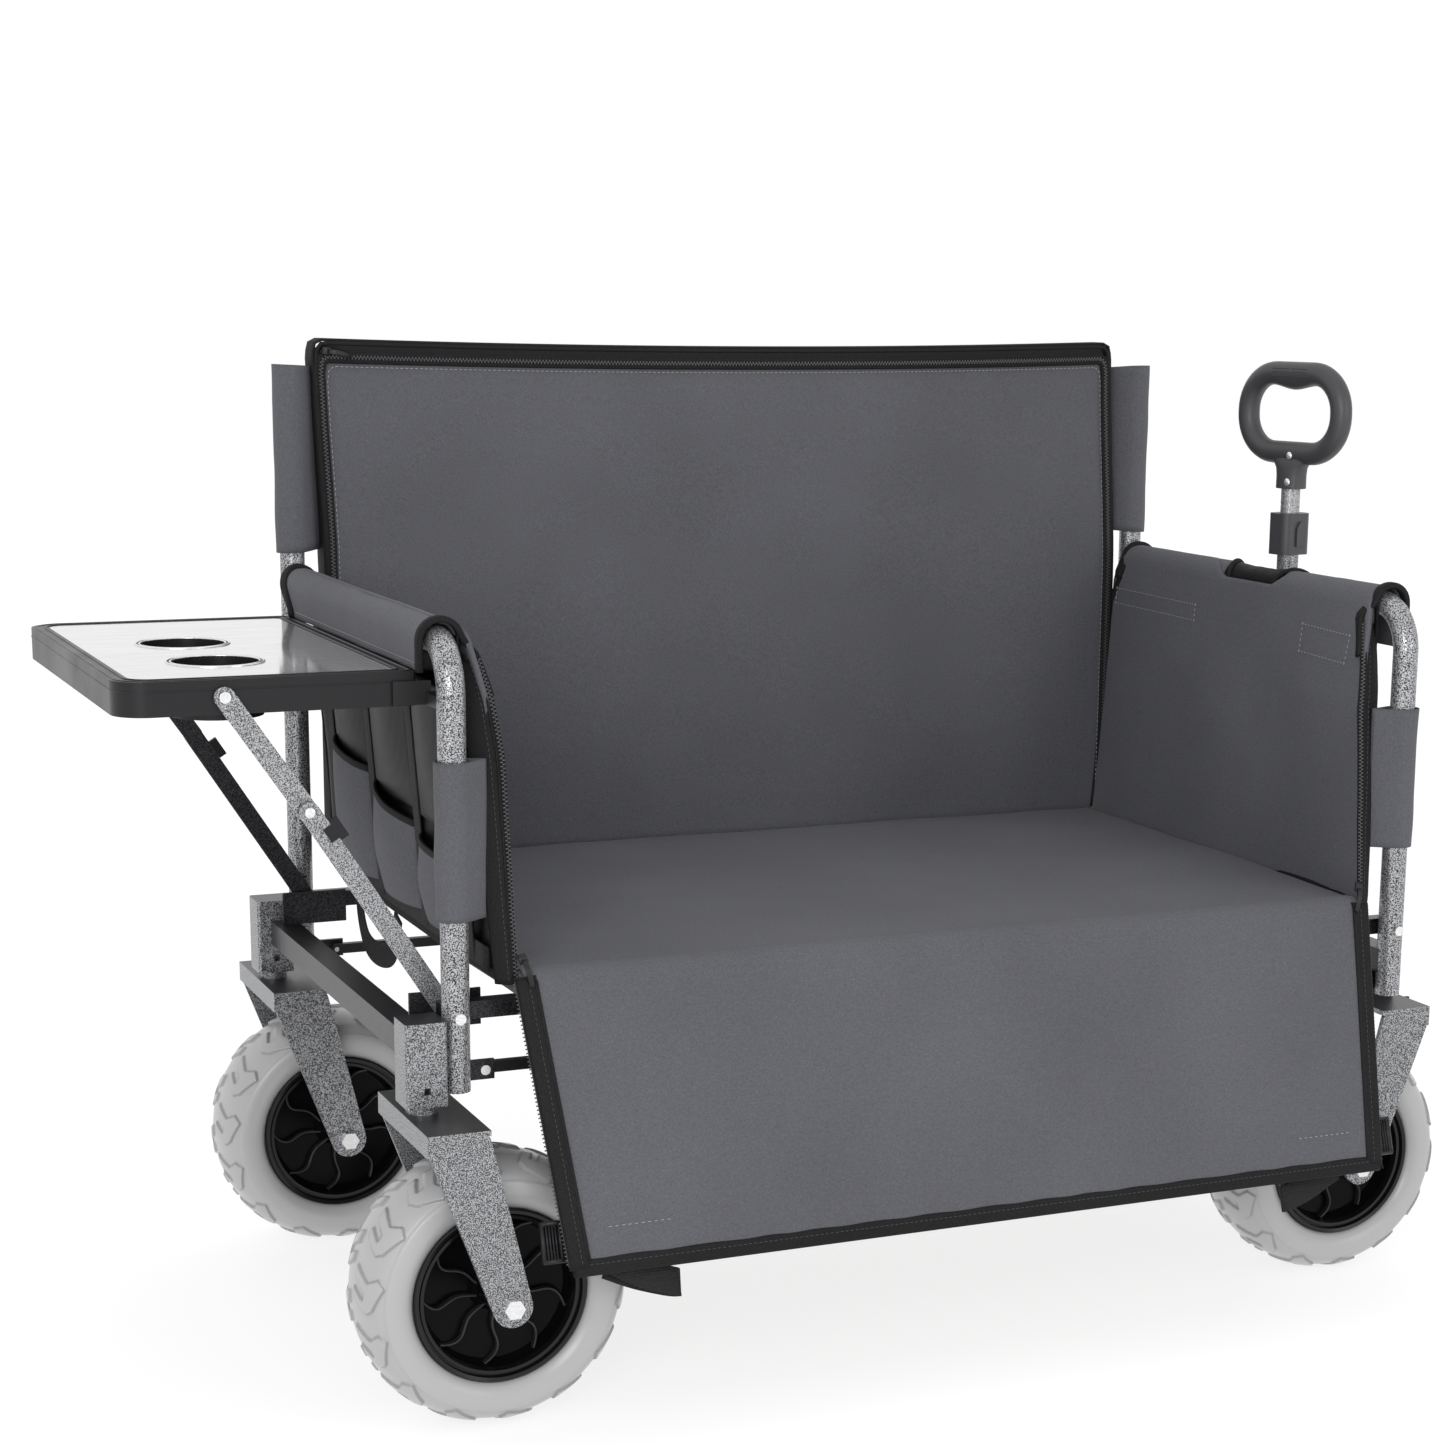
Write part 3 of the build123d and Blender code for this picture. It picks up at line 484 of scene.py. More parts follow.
# ---- CAD nodes: finish ----------------------------------------------------------
finish = {
    tube_paint: ["left_front_post", "right_front_post", "left_back_post", "right_back_post"],
    plate_paint: ["left_caster_housings", "right_forks", "left_front_fork", "left_back_fork",
                  "handle_lower_tube"],
    strut_paint: ["brace_upper_links", "brace_lower_links"],
    dark_paint_and_shade: ["left_cross_tube", "right_cross_tube", "right_fork_mounts", "centre_plates",
                 "left_upper_rails", "right_upper_rails", "brace_brackets", "left_rail_brackets",
                 "right_rail_brackets"],
    black_paint: ["left_lower_rails", "right_lower_rails", "table_brackets", "handle_bracket", "brake_pins"],
    steel: ["left_frame_rivets", "right_frame_rivets", "centre_bolts", "left_front_axle", "left_back_axle",
            "right_axles"],
    plastic: ["table_top", "brace_lock_clips", "right_front_brake_pedal", "right_back_brake_pedal"],
    grip_plastic: ["handle_collar", "handle_button", "handle_grip"],
    inlay_metal: ["table_inlay"],
    bright_tube: ["handle_inner_tube"],
    board: ["left_seat_board", "right_seat_board"],
}
for material, names in finish.items():
    for name in names:
        nodes[name].data.materials.clear()
        nodes[name].data.materials.append(material)
# The links' faces behind the bench's middle take the dark hammertone as painted shade; their front faces keep
# the strut hammertone.
for name in ("brace_upper_links", "brace_lower_links"):
    mesh = nodes[name].data
    mesh.materials.append(dark_paint_and_shade)
    for face in mesh.polygons:
        face.material_index = 1 if face.center.y > mid_y else 0


# ---- wheels ------------------------------------------------------------------------
rim_r = 0.0807
tyre_r = half_span("left_front_tyre", 2)
tyre_half = half_span("left_front_tyre", 1)
hub_half = half_span("left_front_hub", 1)
lug_count = 14
lug_height = 0.0022
rib_count = 9


def step_up(x, a, b):
    """Smooth step from 0 at a to 1 at b."""
    t = np.clip((x - a) / (b - a), 0, 1)
    return t * t * (3 - 2 * t)


def lug_pattern(turn, across):
    """0 to 1 height of the tread at a turn and a place from crown (0) to bead (1)."""
    side = np.where(across < 0, 0.5, 0.0)
    s = np.abs(across)
    cell = (turn * lug_count / (2 * math.pi) + side + 0.8 * np.abs(s - 0.30)) % 1.0
    soft = 0.02

    def raised(start, end):
        return step_up(cell, start, start + soft) * (1 - step_up(cell, end, end + soft))

    lug = raised(0.06, 0.60)
    outer = 0.57 - 0.16 * np.abs(cell - 0.30) / 0.3
    lug *= step_up(s, 0.04, 0.06) * (1 - step_up(s, outer, outer + 0.015))
    notch = raised(0.28, 0.42) * (1 - step_up(s, 0.24, 0.255))
    return np.clip(lug - notch, 0, 1)


def tyre_mesh(name, centre):
    """Balloon tyre with shallow arrow-shaped lugs on both shoulders."""
    round_steps, across_steps = 640, 96
    turns = np.arange(round_steps) * 2 * math.pi / round_steps
    t = np.linspace(-1, 1, across_steps)
    # the section is a fat superellipse from bead to bead; its wall stands part of a lug high
    wall = 0.55
    bead_y = tyre_half - 0.008
    mid_r = rim_r + 0.017
    half_r = tyre_r - (1 - wall) * lug_height - mid_r
    a = t * math.radians(118)
    y = tyre_half * np.sign(np.sin(a)) * np.abs(np.sin(a)) ** 0.92
    r = mid_r + half_r * np.sign(np.cos(a)) * np.abs(np.cos(a)) ** 0.86
    r[0] = r[-1] = rim_r
    y[0], y[-1] = -bead_y, bead_y
    grid_turn, grid_t = np.meshgrid(turns, t, indexing="ij")
    pattern = lug_pattern(grid_turn, grid_t)
    pattern = np.where(np.abs(grid_t) > 0.62, wall, pattern)
    lift = lug_height * (pattern - wall)
    radius = r[None, :] + lift * np.maximum(0.1, np.cos(a))[None, :]
    width = y[None, :] + lift * np.sin(a)[None, :]
    verts = np.stack([radius * np.cos(grid_turn), width, radius * np.sin(grid_turn)], -1).reshape(-1, 3)
    verts = verts + np.array(centre)
    faces = grid_faces(round_steps, across_steps, wrap_u=True, wrap_v=True)
    obj = mesh_piece(name, verts, faces, tyre_paint)
    # The edge attribute holds painted shade: where the lug height changes, the tread gets a darker grey.
    slope = np.abs(np.roll(pattern, 1, 0) - np.roll(pattern, -1, 0))
    slope[:, 1:-1] += np.abs(pattern[:, 2:] - pattern[:, :-2])
    slope = np.where(np.abs(grid_t) > 0.60, 0.0, np.clip(slope, 0, 1))
    painted_edge_shade = obj.data.attributes.new("edge", "FLOAT", "POINT")
    painted_edge_shade.data.foreach_set("value", slope.astype(np.float32).ravel())
    return obj


def revolved(name, profile, centre, material, steps=96):
    """A closed profile of (radius, y) turned about the Y axis."""
    verts = []
    for k in range(steps):
        a = 2 * math.pi * k / steps
        verts += [(centre.x + r * math.cos(a), centre.y + y, centre.z + r * math.sin(a)) for r, y in profile]
    return mesh_piece(name, verts, grid_faces(steps, len(profile), True, True), material)


def s_rib(centre, face, start, inner, outer, depth_in, depth_out):
    """One curved rib on the dish, from the boss to the rim."""
    line = []
    for k in range(19):
        u = k / 18
        r = inner + (outer - inner) * u
        bend = math.radians(20) * u + math.radians(7) * math.sin(2 * math.pi * u)
        turn = start + face * bend
        y = depth_in + (depth_out - depth_in) * u * u
        line.append(centre + Vector((r * math.cos(turn), face * y, r * math.sin(turn))))
    return sweep("rib", line, round_section(0.0022, 0.008, 0.0010, 2), (0, face, 0), rib_highlight_paint)


def wheel_hub(name, centre):
    """Gloss moulded wheel: stepped rim rings, dished web, boss and S-curved ribs."""
    dish = [(0.0066, hub_half), (0.0135, hub_half), (0.0150, hub_half - 0.002), (0.0155, 0.022),
            (0.022, 0.0140), (0.045, 0.0150), (0.0655, 0.0200), (0.0685, 0.0250), (0.0692, 0.0340)]
    ring = [(0.0692, 0.0340), (0.0705, 0.0412), (0.0735, 0.0412), (0.0742, 0.0395), (0.0752, 0.0395),
            (0.0760, 0.0440), (0.0790, 0.0450), (rim_r - 0.0002, 0.0436)]
    pieces = []
    for half, paint in ((dish, hub_paint), (ring, rim_paint)):
        profile = [(r, y) for r, y in half] + [(r, -y) for r, y in reversed(half)]
        pieces.append(revolved(name, profile, centre, paint))
    for face in (-1, 1):
        for k in range(rib_count):
            start = 2 * math.pi * k / rib_count + (0.2 if face > 0 else 0.0)
            pieces.append(s_rib(centre, face, start, 0.0150, 0.0688, 0.0165, 0.0250))
    return sharpened(joined(name, pieces), 35)


for word in ("left_front", "left_back", "right_front", "right_back"):
    centre = middle(f"{word}_tyre")
    tyre = tyre_mesh(f"{word}_tyre_moulded", centre)
    hub = wheel_hub(f"{word}_hub_moulded", centre)
    for piece, cad, slot in ((tyre, "tyre", "tyre_grey"), (hub, "hub", "hub_black")):
        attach(piece, f"{word}_wheel")
        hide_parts(f"{word}_{cad}")


# ---- soft goods: shared sewing details ----------------------------------------------
tooth = block(0.0007, 0.0013, 0.0011)
stitch = block(0.0014, 0.0003, 0.0004, 0.4)


def stitching(name, points, up, off_up=0.0, pitch=0.0052, material=thread):
    return row_of(name, points, up, pitch, stitch, material, off_up=off_up)


def chain_of(name, points, alternate, off_up=0.0, up=(0, -1, 0)):
    """A zip's interlocked teeth along a line."""
    return row_of(name, points, up, 0.0018, tooth, teeth, off_up, alternate)


def wear(objs, body, slot, *replaced):
    """Every piece rides on one body, and the CAD parts it replaces are hidden."""
    for o in objs:
        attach(o, body)
    if replaced:
        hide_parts(*replaced)


def give_way(objs):
    """Give each end cloth, which the real bench presses flat against its frame as the seat folds up, its own
    mesh data.
    """
    for o in objs:
        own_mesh(o)


def shrink(objs):
    """Give each piece of cloth, which gathers between its two ends as the bench folds shorter, its own mesh
    data.
    """
    for o in objs:
        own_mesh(o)


def ripple(p, size, depth, seed=0.0):
    """Smooth, repeatable unevenness."""
    q = Vector((p[0], p[1], p[2])) / size + Vector((seed, seed * 0.7, -seed))
    return depth * noise.noise(q)


# ---- backrest -----------------------------------------------------------------------
flare, taper, taper_top, taper_run = 0.006, 0.009, 0.93, 0.23


def rest_edge(z):
    """Half width of the backrest, a little narrower at the arms."""
    return rest_half + flare - taper * float(step_up(taper_top - z, 0.0, taper_run))


def puffed(obj, voxel, pressure, cap, held):
    """Blow a closed shell up with cloth simulation. held(p) pins points; none moves more than cap."""
    remesh = obj.modifiers.new("remesh", "REMESH")
    remesh.mode = "VOXEL"
    remesh.voxel_size = voxel
    remesh.use_smooth_shade = True
    freeze(obj)
    smooth = obj.modifiers.new("smooth", "SMOOTH")
    smooth.factor = 0.5
    smooth.iterations = 3
    freeze(obj)
    rest = np.array([v.co for v in obj.data.vertices])
    group = obj.vertex_groups.new(name="held")
    for v in obj.data.vertices:
        weight = held(v.co)
        if weight > 0:
            group.add([v.index], weight, "REPLACE")
    cloth = obj.modifiers.new("cloth", "CLOTH")
    cloth.settings.use_pressure = True
    cloth.settings.uniform_pressure_force = pressure
    cloth.settings.quality = 5
    cloth.settings.effector_weights.gravity = 0
    cloth.settings.vertex_group_mass = "held"
    cloth.settings.tension_stiffness = 12
    cloth.settings.compression_stiffness = 12
    cloth.settings.bending_stiffness = 0.4
    scene = bpy.context.scene
    for f in range(1, 21):
        scene.frame_set(f)
    depsgraph = bpy.context.evaluated_depsgraph_get()
    moved = np.array([v.co for v in obj.evaluated_get(depsgraph).data.vertices])
    obj.modifiers.clear()
    scene.frame_set(1)
    step = moved - rest
    length = np.linalg.norm(step, axis=1, keepdims=True)
    step *= np.minimum(1.0, cap / np.maximum(length, 1e-9))
    obj.data.vertices.foreach_set("co", (rest + step).astype(np.float32).ravel())
    obj.vertex_groups.clear()
    obj.data.update()
    return obj


def backrest_cushion():
    top, low = rest_top - 0.004, rest_low - 0.001
    waist = rest_edge(arm_z)
    corners = [(-waist, low), (waist, low), (waist, arm_z), (rest_edge(top), top), (-rest_edge(top), top),
               (-waist, arm_z)]
    verts = [at(x, y, z) for y in (rest_front + 0.004, rest_back - 0.002) for x, z in corners]
    n = len(corners)
    faces = [tuple(range(n)), tuple(reversed(range(n, 2 * n)))]
    faces += [(i, i + n, (i + 1) % n + n, (i + 1) % n) for i in range(n)]
    obj = mesh_piece("backrest_cushion", verts, faces, fabric)
    bevel = obj.modifiers.new("bevel", "BEVEL")
    bevel.width = 0.005
    bevel.segments = 3
    freeze(obj)

    def held(p):
        x, z = abs(p.x - mid_x), p.z
        near = min(rest_edge(z) - x, top - z, z - low)
        return 1.0 if near < 0.020 else max(0.0, 0.35 * (1 - (near - 0.02) / 0.03))

    puffed(obj, voxel=0.008, pressure=3.0, cap=0.006, held=held)
    for v in obj.data.vertices:
        if v.co.y < mid_y + rest_front + 0.012:
            v.co.y += ripple(v.co, 0.16, 0.0016) + ripple(v.co, 0.05, 0.0005, 3.0)
    fine = obj.modifiers.new("fine", "SUBSURF")
    fine.levels = fine.render_levels = 1
    return freeze(obj)


cushion = backrest_cushion()
face_y = rest_front + 0.0025


def lean(objs):
    """Stand the backrest's right edge in at the top and out at the arm, and sag its top between corners."""
    for obj in objs:
        for v in obj.data.vertices:
            x, z = v.co.x - mid_x, v.co.z
            far = float(step_up(x, 0.10, rest_half))
            up = float(step_up(z, arm_z - 0.02, rest_top))
            v.co.x += far * (0.0055 - 0.0210 * up)
            v.co.z += 0.0065 * (x / rest_half) ** 2 * float(step_up(z, arm_z, rest_top))


border_foot = rest_low + 0.012


def border_line(inset, drop=None, z_low=border_foot):
    """Up one side, over the top and down the other, on the backrest's front; drop is its inset on top."""
    high = rest_top - 0.001 - (inset * 1.25 if drop is None else drop)
    left = [(-rest_edge(z) + inset, z) for z in np.linspace(z_low, high - 0.016, 10)]
    x = rest_edge(high) - inset
    round_left = [(-x + 0.002, high - 0.004), (-x + 0.007, high)]
    across = [(px, high) for px in np.linspace(-x + 0.03, x - 0.03, 12)]
    round_right = [(-px, z) for px, z in reversed(round_left)]
    right = [(-px, z) for px, z in reversed(left)]
    return [at(px, face_y, z) for px, z in left + round_left + across + round_right + right]


front = (0, -1, 0)
zip_drop = 0.0150
top_line = [at(x, face_y, rest_top - 0.0065) for x in np.linspace(-rest_half + 0.006, rest_half - 0.006, 30)]
rest_pieces = [
    tape("backrest_zip_tape", spaced(border_line(0.0045, zip_drop), 0.008), 0.0130, 0.0036, front, binding),
    chain_of("backrest_teeth", border_line(0.0060, zip_drop), 0.0009, 0.0018),
    sweep("backrest_piping", spaced(border_line(0.0016), 0.008), circle_section(0.0024, 8), front, lining),
    tape("backrest_top_tape", top_line, 0.0130, 0.0034, front, lining),
    stitching("backrest_stitches", border_line(0.0128, 0.0245, rest_low + 0.02), front, 0.0012),
]


def gusset():
    """Black band round the backrest's thickness, over its top and both sides."""
    y = mid_y + (rest_front + rest_back) / 2 + 0.0015
    line = [Vector((p.x, y, p.z)) for p in border_line(-0.0012)]
    centre = at(0, 0, 0.6)
    return tape("backrest_gusset", spaced(line, 0.008), 0.029, 0.003,
                lambda i, p: Vector((p.x - centre.x, 0, (p.z - centre.z) * 3.0)), binding)


rest_pieces.append(gusset())


def zip_pull(name, p, down, out):
    """Slider with its hanging tab."""
    down, out = Vector(down).normalized(), Vector(out).normalized()
    side = down.cross(out)
    body = sweep(name, [p, p + down * 0.009], round_section(0.008, 0.004, 0.0015), out, black_paint)
    start = p + down * 0.006 + out * 0.0035
    tab = sweep(name + "_tab", [start, start + down * 0.010, start + down * 0.024 + side * 0.002],
                round_section(0.005, 0.0018, 0.0008), out, black_paint)
    return joined(name, [body, tab])


pull_at = at(-rest_half + 0.002, face_y - 0.003, rest_top - 0.010)
rest_pieces.append(zip_pull("backrest_zip_pull", pull_at, (1, 0, -0.12), front))


# ---- sleeves on the back posts ------------------------------------------------------
def loop_round_post(cx, cy, r, seam):
    """Plan of cloth that wraps a post and comes together at a seam point."""
    to = Vector(seam) - Vector((cx, cy))
    reach, turn = to.length, math.atan2(to.y, to.x)
    open_angle = math.acos(r / reach)
    steps = 18
    plan = []
    for k in range(steps + 1):
        a = turn + open_angle + (2 * math.pi - 2 * open_angle) * k / steps
        plan.append(Vector((cx + r * math.cos(a), cy + r * math.sin(a))))
    first, last = plan[0], plan[-1]
    end = Vector(seam)
    lead = [end.lerp(first, t) for t in (0.04, 0.35, 0.7)]
    tail = [last.lerp(end, t) for t in (0.3, 0.65, 0.96)]
    return lead + plan + tail


def sleeve(name, cx, cy, seam, low, high, slope=0.0):
    """Cloth sleeve round a post, sewn to a panel at its seam."""
    plan = loop_round_post(cx, cy, tube_r + 0.0032, seam)

    def point(u, v):
        k = u * (len(plan) - 1)
        i = min(int(k), len(plan) - 2)
        p = plan[i].lerp(plan[i + 1], k - i)
        z = low + (high - low) * v
        away = (p - Vector(seam)).length
        z += slope * away * (v - 0.5) * 2
        wave = ripple((p.x, p.y, z), 0.045, 0.0012, cx * 7)
        out = (p - Vector((cx, cy))).normalized()
        return at(p.x + out.x * wave, p.y + out.y * wave, z)

    return cloth_grid(name, point, 3 * len(plan), 26, 0.0014, fabric)


for side, word in sides:
    low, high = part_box(f"{word}_backrest_sleeve")
    seam = (side * (rest_half - 0.003), rest_back - 0.006)
    cloth = sleeve(f"{word}_post_sleeve", side * post_x, post_y, seam, low.z, high.z, slope=0.05)
    wear([cloth], f"{word}_end", "fabric_grey", f"{word}_backrest_sleeve")

# ---- end panels and the rolls over the arm tubes ------------------------------------
panel_in_top, panel_in_low = post_x - tube_r - 0.0072, pad_end + 0.006
panel_back = post_y - 0.0145


def back_edge(z):
    """Back edge of an end panel, cut on the slant under the arm."""
    return float(np.interp(z, (arm_z - 0.046, arm_z - 0.002), (post_y - 0.0070, post_y - 0.0310)))


def panel_x(z):
    """How far out the end panel stands at a height: it leans in towards the seat."""
    t = (z - seat_top) / (arm_z - seat_top)
    return panel_in_low + (panel_in_top - panel_in_low) * t


front_edge = curve_through([(0, -0.2270, 0.708), (0, -0.2400, 0.690), (0, -0.2560, 0.650),
                            (0, -0.2660, 0.600), (0, -0.2740, 0.530), (0, -0.2810, 0.460),
                            (0, -0.2870, seat_top - 0.002)], 10)
edge_z = [p.z for p in reversed(front_edge)]
edge_y = [p.y for p in reversed(front_edge)]


def panel_front(z):
    """Front edge of an end panel, which curves forward towards the seat."""
    return float(np.interp(z, edge_z, edge_y))


def zip_x(z):
    """How far out the zip at an end panel's front edge stands."""
    return float(np.interp(z, (0.40, 0.60, 0.65, 0.70), (0.4405, 0.4435, 0.4500, 0.4620)))


def panel_point(side, y, z, off=0.0):
    """Point on an end panel, which bows in to its zip; off is further inward."""
    pull = (panel_x(z) - 0.0065 - zip_x(z)) * (1 - float(step_up(y - panel_front(z), 0.0, 0.22)))
    return at(side * (panel_x(z) - pull - off), y, z)


def front_gusset(side, word):
    """Black tape between an end panel's zip and its outer lining."""
    def point(u, v):
        z = seat_top - 0.012 + (arm_z - 0.006 - seat_top) * v
        x = zip_x(z) + (panel_x(z) + 0.007 - zip_x(z)) * u
        y = panel_front(z) - 0.002 + 0.010 * u * u + ripple((side, u * 0.03, z), 0.03, 0.0008)
        return at(side * x, y, z)

    def up_tape(u, proud):
        return [point(u, v) + Vector((0, -proud, 0)) for v in np.linspace(0.02, 1, 50)]

    return [cloth_grid(f"{word}_front_gusset", point, 12, 50, 0.0018, binding),
            chain_of("teeth", up_tape(0.10, 0.0014), 0.0010),
            stitching("seam", up_tape(0.45, 0.0012), front, 0.0, 0.0050, dark_thread),
            sweep("cord", spaced(up_tape(0.24, 0.0010), 0.008), round_section(0.0024, 0.0020, 0.0009), front,
                  lining)]


def inner_patch(side, word):
    """Black facing that hangs inside the roll, behind the arm tube's bend."""
    def point(u, v):
        y = -0.2180 - 0.028 * u
        z = arm_z + 0.004 - 0.066 * v
        return at(side * (panel_x(arm_z) + 0.004 + 0.003 * v), y + 0.004 * v, z)
    return cloth_grid(f"{word}_roll_facing", point, 10, 20, 0.0016, lining)


def end_panel(side, word):
    """Padded panel whose top bends over the arm tube; the right one dips at its notch."""
    low = seat_top - 0.010
    bend_r = tube_r + 0.0072

    def point(u, v):
        y = panel_front(low + (arm_z - low) * v) + 0.002
        y += (back_edge(low + (arm_z - low) * v) - y) * u
        dip = 0.0
        if side > 0:
            dip = float(step_up(y, notch_y0 - 0.030, notch_y0 + 0.012)
                        * (1 - step_up(y, notch_y1 - 0.012, notch_y1 + 0.040)))
        over = bend_r * math.radians(84 - 78 * dip)
        s = low + (arm_z + over - low) * v
        z = min(s, arm_z)
        crown = 0.004 * math.sin(math.pi * u) * math.sin(math.pi * min(1, (z - low) / (arm_z - low)))
        fade = min(1.0, (arm_z - z) / 0.05 + 0.25)
        p = (side, y, s)
        wave = fade * (ripple(p, 0.11, 0.0026, 5 + side) + ripple(p, 0.035, 0.0006, 9 + side))
        if s <= arm_z:
            return panel_point(side, y, z, crown + wave)
        a = (s - arm_z) / bend_r
        r = bend_r - 0.0042 * a / math.radians(84) + wave
        start = panel_point(side, y, arm_z).x - mid_x + side * bend_r
        pull = (start - side * post_x) * (1 - a / math.radians(90))
        return at(side * (post_x - r * math.cos(a)) + pull, y, arm_z + r * math.sin(a))

    return cloth_grid(f"{word}_end_panel", point, 96, 70, 0.0050, fabric)


roll_inner, roll_r = 0.020, tube_r + 0.0040


def arm_roll(side, name, y0, y1, hem_z, slant):
    """Cloth that comes up the inside of the arm tube, over it and down outside; slant cuts its back end short
    towards the hem."""
    r, inner = roll_r, roll_inner
    arc, outer = math.pi * r, arm_z - hem_z

    def point(u, v):
        s = v * (inner + arc + outer)
        y = y0 + (y1 - slant * max(0.0, (s - inner - arc / 2) / (arc / 2 + outer)) ** 1.3 - y0) * u
        if s < inner:
            x, z = post_x - r, arm_z - inner + s
        elif s < inner + arc:
            a = math.pi - (s - inner) / r
            x, z = post_x + r * math.cos(a), arm_z + r * math.sin(a)
        else:
            x, z = post_x + r, arm_z - (s - inner - arc)
        wave = ripple((side * 0.3, y, s), 0.06, 0.0013, 2.0 + side)
        a = Vector((x - post_x, 0, max(0.0, z - arm_z)))
        a = a.normalized() if a.length > 1e-6 else Vector((1, 0, 0))
        return at(side * (x + a.x * wave), y, z + a.z * wave)

    return cloth_grid(name, point, max(12, int((y1 - y0) / 0.005)), 30, 0.0014, fabric)


def roll_edge(side, y, hem_z, name, inner_low, slant=0.0):
    """Black binding round the open end of a roll, down the panel's edge inside."""
    r = tube_r + 0.0062
    points = [panel_point(side, panel_front(z) + 0.003 if y < 0 else y, z, 0.0045)
              for z in np.linspace(inner_low, arm_z - 0.012, 7)]
    points += [at(side * (post_x - r * math.cos(a)), y, arm_z + r * math.sin(a))
               for a in np.linspace(0.15, math.pi, 15)]
    points += [at(side * (post_x + r), y, z) for z in np.linspace(arm_z - 0.010, hem_z, 4)]
    over = [max(0.0, (p.x - mid_x) * side - post_x) for p in points]
    run = [r * math.asin(min(1.0, o / r)) + max(0.0, arm_z - p.z) * (o > 0.9 * r)
           for o, p in zip(over, points)]
    for p, way in zip(points, run):
        p.y -= slant * (way / (math.pi * r / 2 + arm_z - hem_z)) ** 1.3
    centre = at(side * post_x, y, arm_z - 0.01)
    return sweep(name, spaced(points, 0.004), round_section(0.011, 0.0060, 0.0022),
                 lambda i, p: Vector((p.x - centre.x, 0, p.z - centre.z)), binding)


notch_y0, notch_y1 = -0.071, 0.042
roll_front, roll_back = -0.2400, post_y - tube_r - 0.006
sleeve_low, sleeve_high = 0.459, 0.599
for side, word in sides:
    panel = end_panel(side, word)
    if side < 0:
        slant, low_hem, spans = 0.050, table_high.z + 0.0010, [(roll_front, roll_back)]
    else:
        slant, low_hem, spans = 0.0, arm_z - 0.045, [(roll_front, notch_y0), (notch_y1, roll_back)]
    rolls = [arm_roll(side, f"{word}_arm_roll" + ("_back" if y0 > 0 else ""), y0, y1, low_hem, slant)
             for y0, y1 in spans]
    caps = [roll_edge(side, roll_front - 0.0030, low_hem, f"{word}_roll_front_edge", 0.650),
            roll_edge(side, roll_back - 0.003, low_hem, f"{word}_roll_back_edge", arm_z - 0.020, slant),
            inner_patch(side, word)]
    edging = front_gusset(side, word)
    pull_at = at(side * (zip_x(seat_top) - 0.002), panel_front(seat_top) - 0.006, seat_top + 0.016)
    edging.append(zip_pull(f"{word}_panel_zip_pull", pull_at, (side * -0.3, -0.35, -1), (0, -1, 0.2)))
    along = [panel_point(side, y, seat_top, -0.0030) - Vector((0, 0, 0.006))
             for y in np.linspace(-0.283, panel_back, 30)]
    edging.append(sweep(f"{word}_panel_seat_binding", along, round_section(0.010, 0.012, 0.003), (0, 0, 1),
                        binding))
    along = [panel_point(side, back_edge(z), z) for z in np.linspace(seat_top - 0.008, arm_z - 0.004, 40)[1:]]
    edging.append(sweep(f"{word}_panel_back_binding", along, round_section(0.008, 0.010, 0.003), (side, 0, 0),
                        binding))
    hem_x = side * (post_x + tube_r + 0.0050)
    stitches = [stitching(f"{word}_roll_stitches_{k}",
                          [at(hem_x, y, low_hem + 0.006) for y in (y0 + 0.01, y1 - 0.01 - slant)],
                          (side, 0, 0))
                for k, (y0, y1) in enumerate(spans)]
    # dashed boxes where the closing straps are sewn behind the panel
    for k, (y0, y1, z0, z1) in enumerate(((0.078, 0.250, 0.650, 0.669), (-0.232, -0.140, 0.640, 0.670))):
        corners = [(y0, z0), (y1, z0 + 0.002), (y1, z1), (y0, z1 - 0.002), (y0, z0)]
        box_line = [panel_point(side, y, z, 0.0052) for y, z in corners]
        for m, (a, b) in enumerate(zip(box_line, box_line[1:])):
            stitches.append(stitching(f"{word}_box_stitches_{k}{m}", [a, b], (-side, 0, 0), 0.0012, 0.0060))
    sewn = joined(f"{word}_end_stitches", stitches)
    wrap = sleeve(f"{word}_front_sleeve", side * post_x, -post_y, (side * 0.4600, -0.2690), sleeve_low,
                  sleeve_high)
    trim = joined(f"{word}_end_trim", edging)
    ends = joined(f"{word}_roll_ends", caps)
    wear([panel] + rolls + [wrap], f"{word}_end", "fabric_grey", f"{word}_end_fabric")
    wear([trim, sewn, ends], f"{word}_end", "webbing_black")
    give_way([panel, trim, sewn])


# ---- black outer lining, and the left end's pockets -------------------------------------
def lining_panel(side, word):
    """Black cloth on an end panel's outer face."""
    def point(u, v):
        z = seat_top - 0.006 + (arm_z - 0.012 - seat_top) * v
        y = panel_front(z) + 0.012 + (panel_back - panel_front(z) - 0.016) * u
        return panel_point(side, y, z, -0.0055 + ripple((side, y, z), 0.07, 0.0015, 4.0))
    return cloth_grid(f"{word}_outer_lining", point, 60, 40, 0.0012, lining)


def pocket(name, y0, y1, low, high_front, high_back, bulge):
    """Grey pocket bag that bellies outward, its mouth higher at the back."""
    def point(u, v):
        y = y0 + (y1 - y0) * u
        high = high_front + (high_back - high_front) * u
        z = low + (high - low) * v
        belly = bulge * math.sin(math.pi * u) ** 0.7 * (0.25 + 0.75 * math.sin(math.pi * (0.15 + 0.65 * v)))
        return at(-(panel_x(z) + 0.0075 + belly + ripple((1, y, z), 0.04, 0.0015)), y, z)

    bag = cloth_grid(name, point, 30, 26, 0.0012, fabric)
    rim = [point(u, 1.0) for u in np.linspace(0, 1, 24)]
    edge = sweep(name + "_rim", rim, round_section(0.007, 0.003, 0.001), (-1, 0, 0), binding)
    return bag, edge


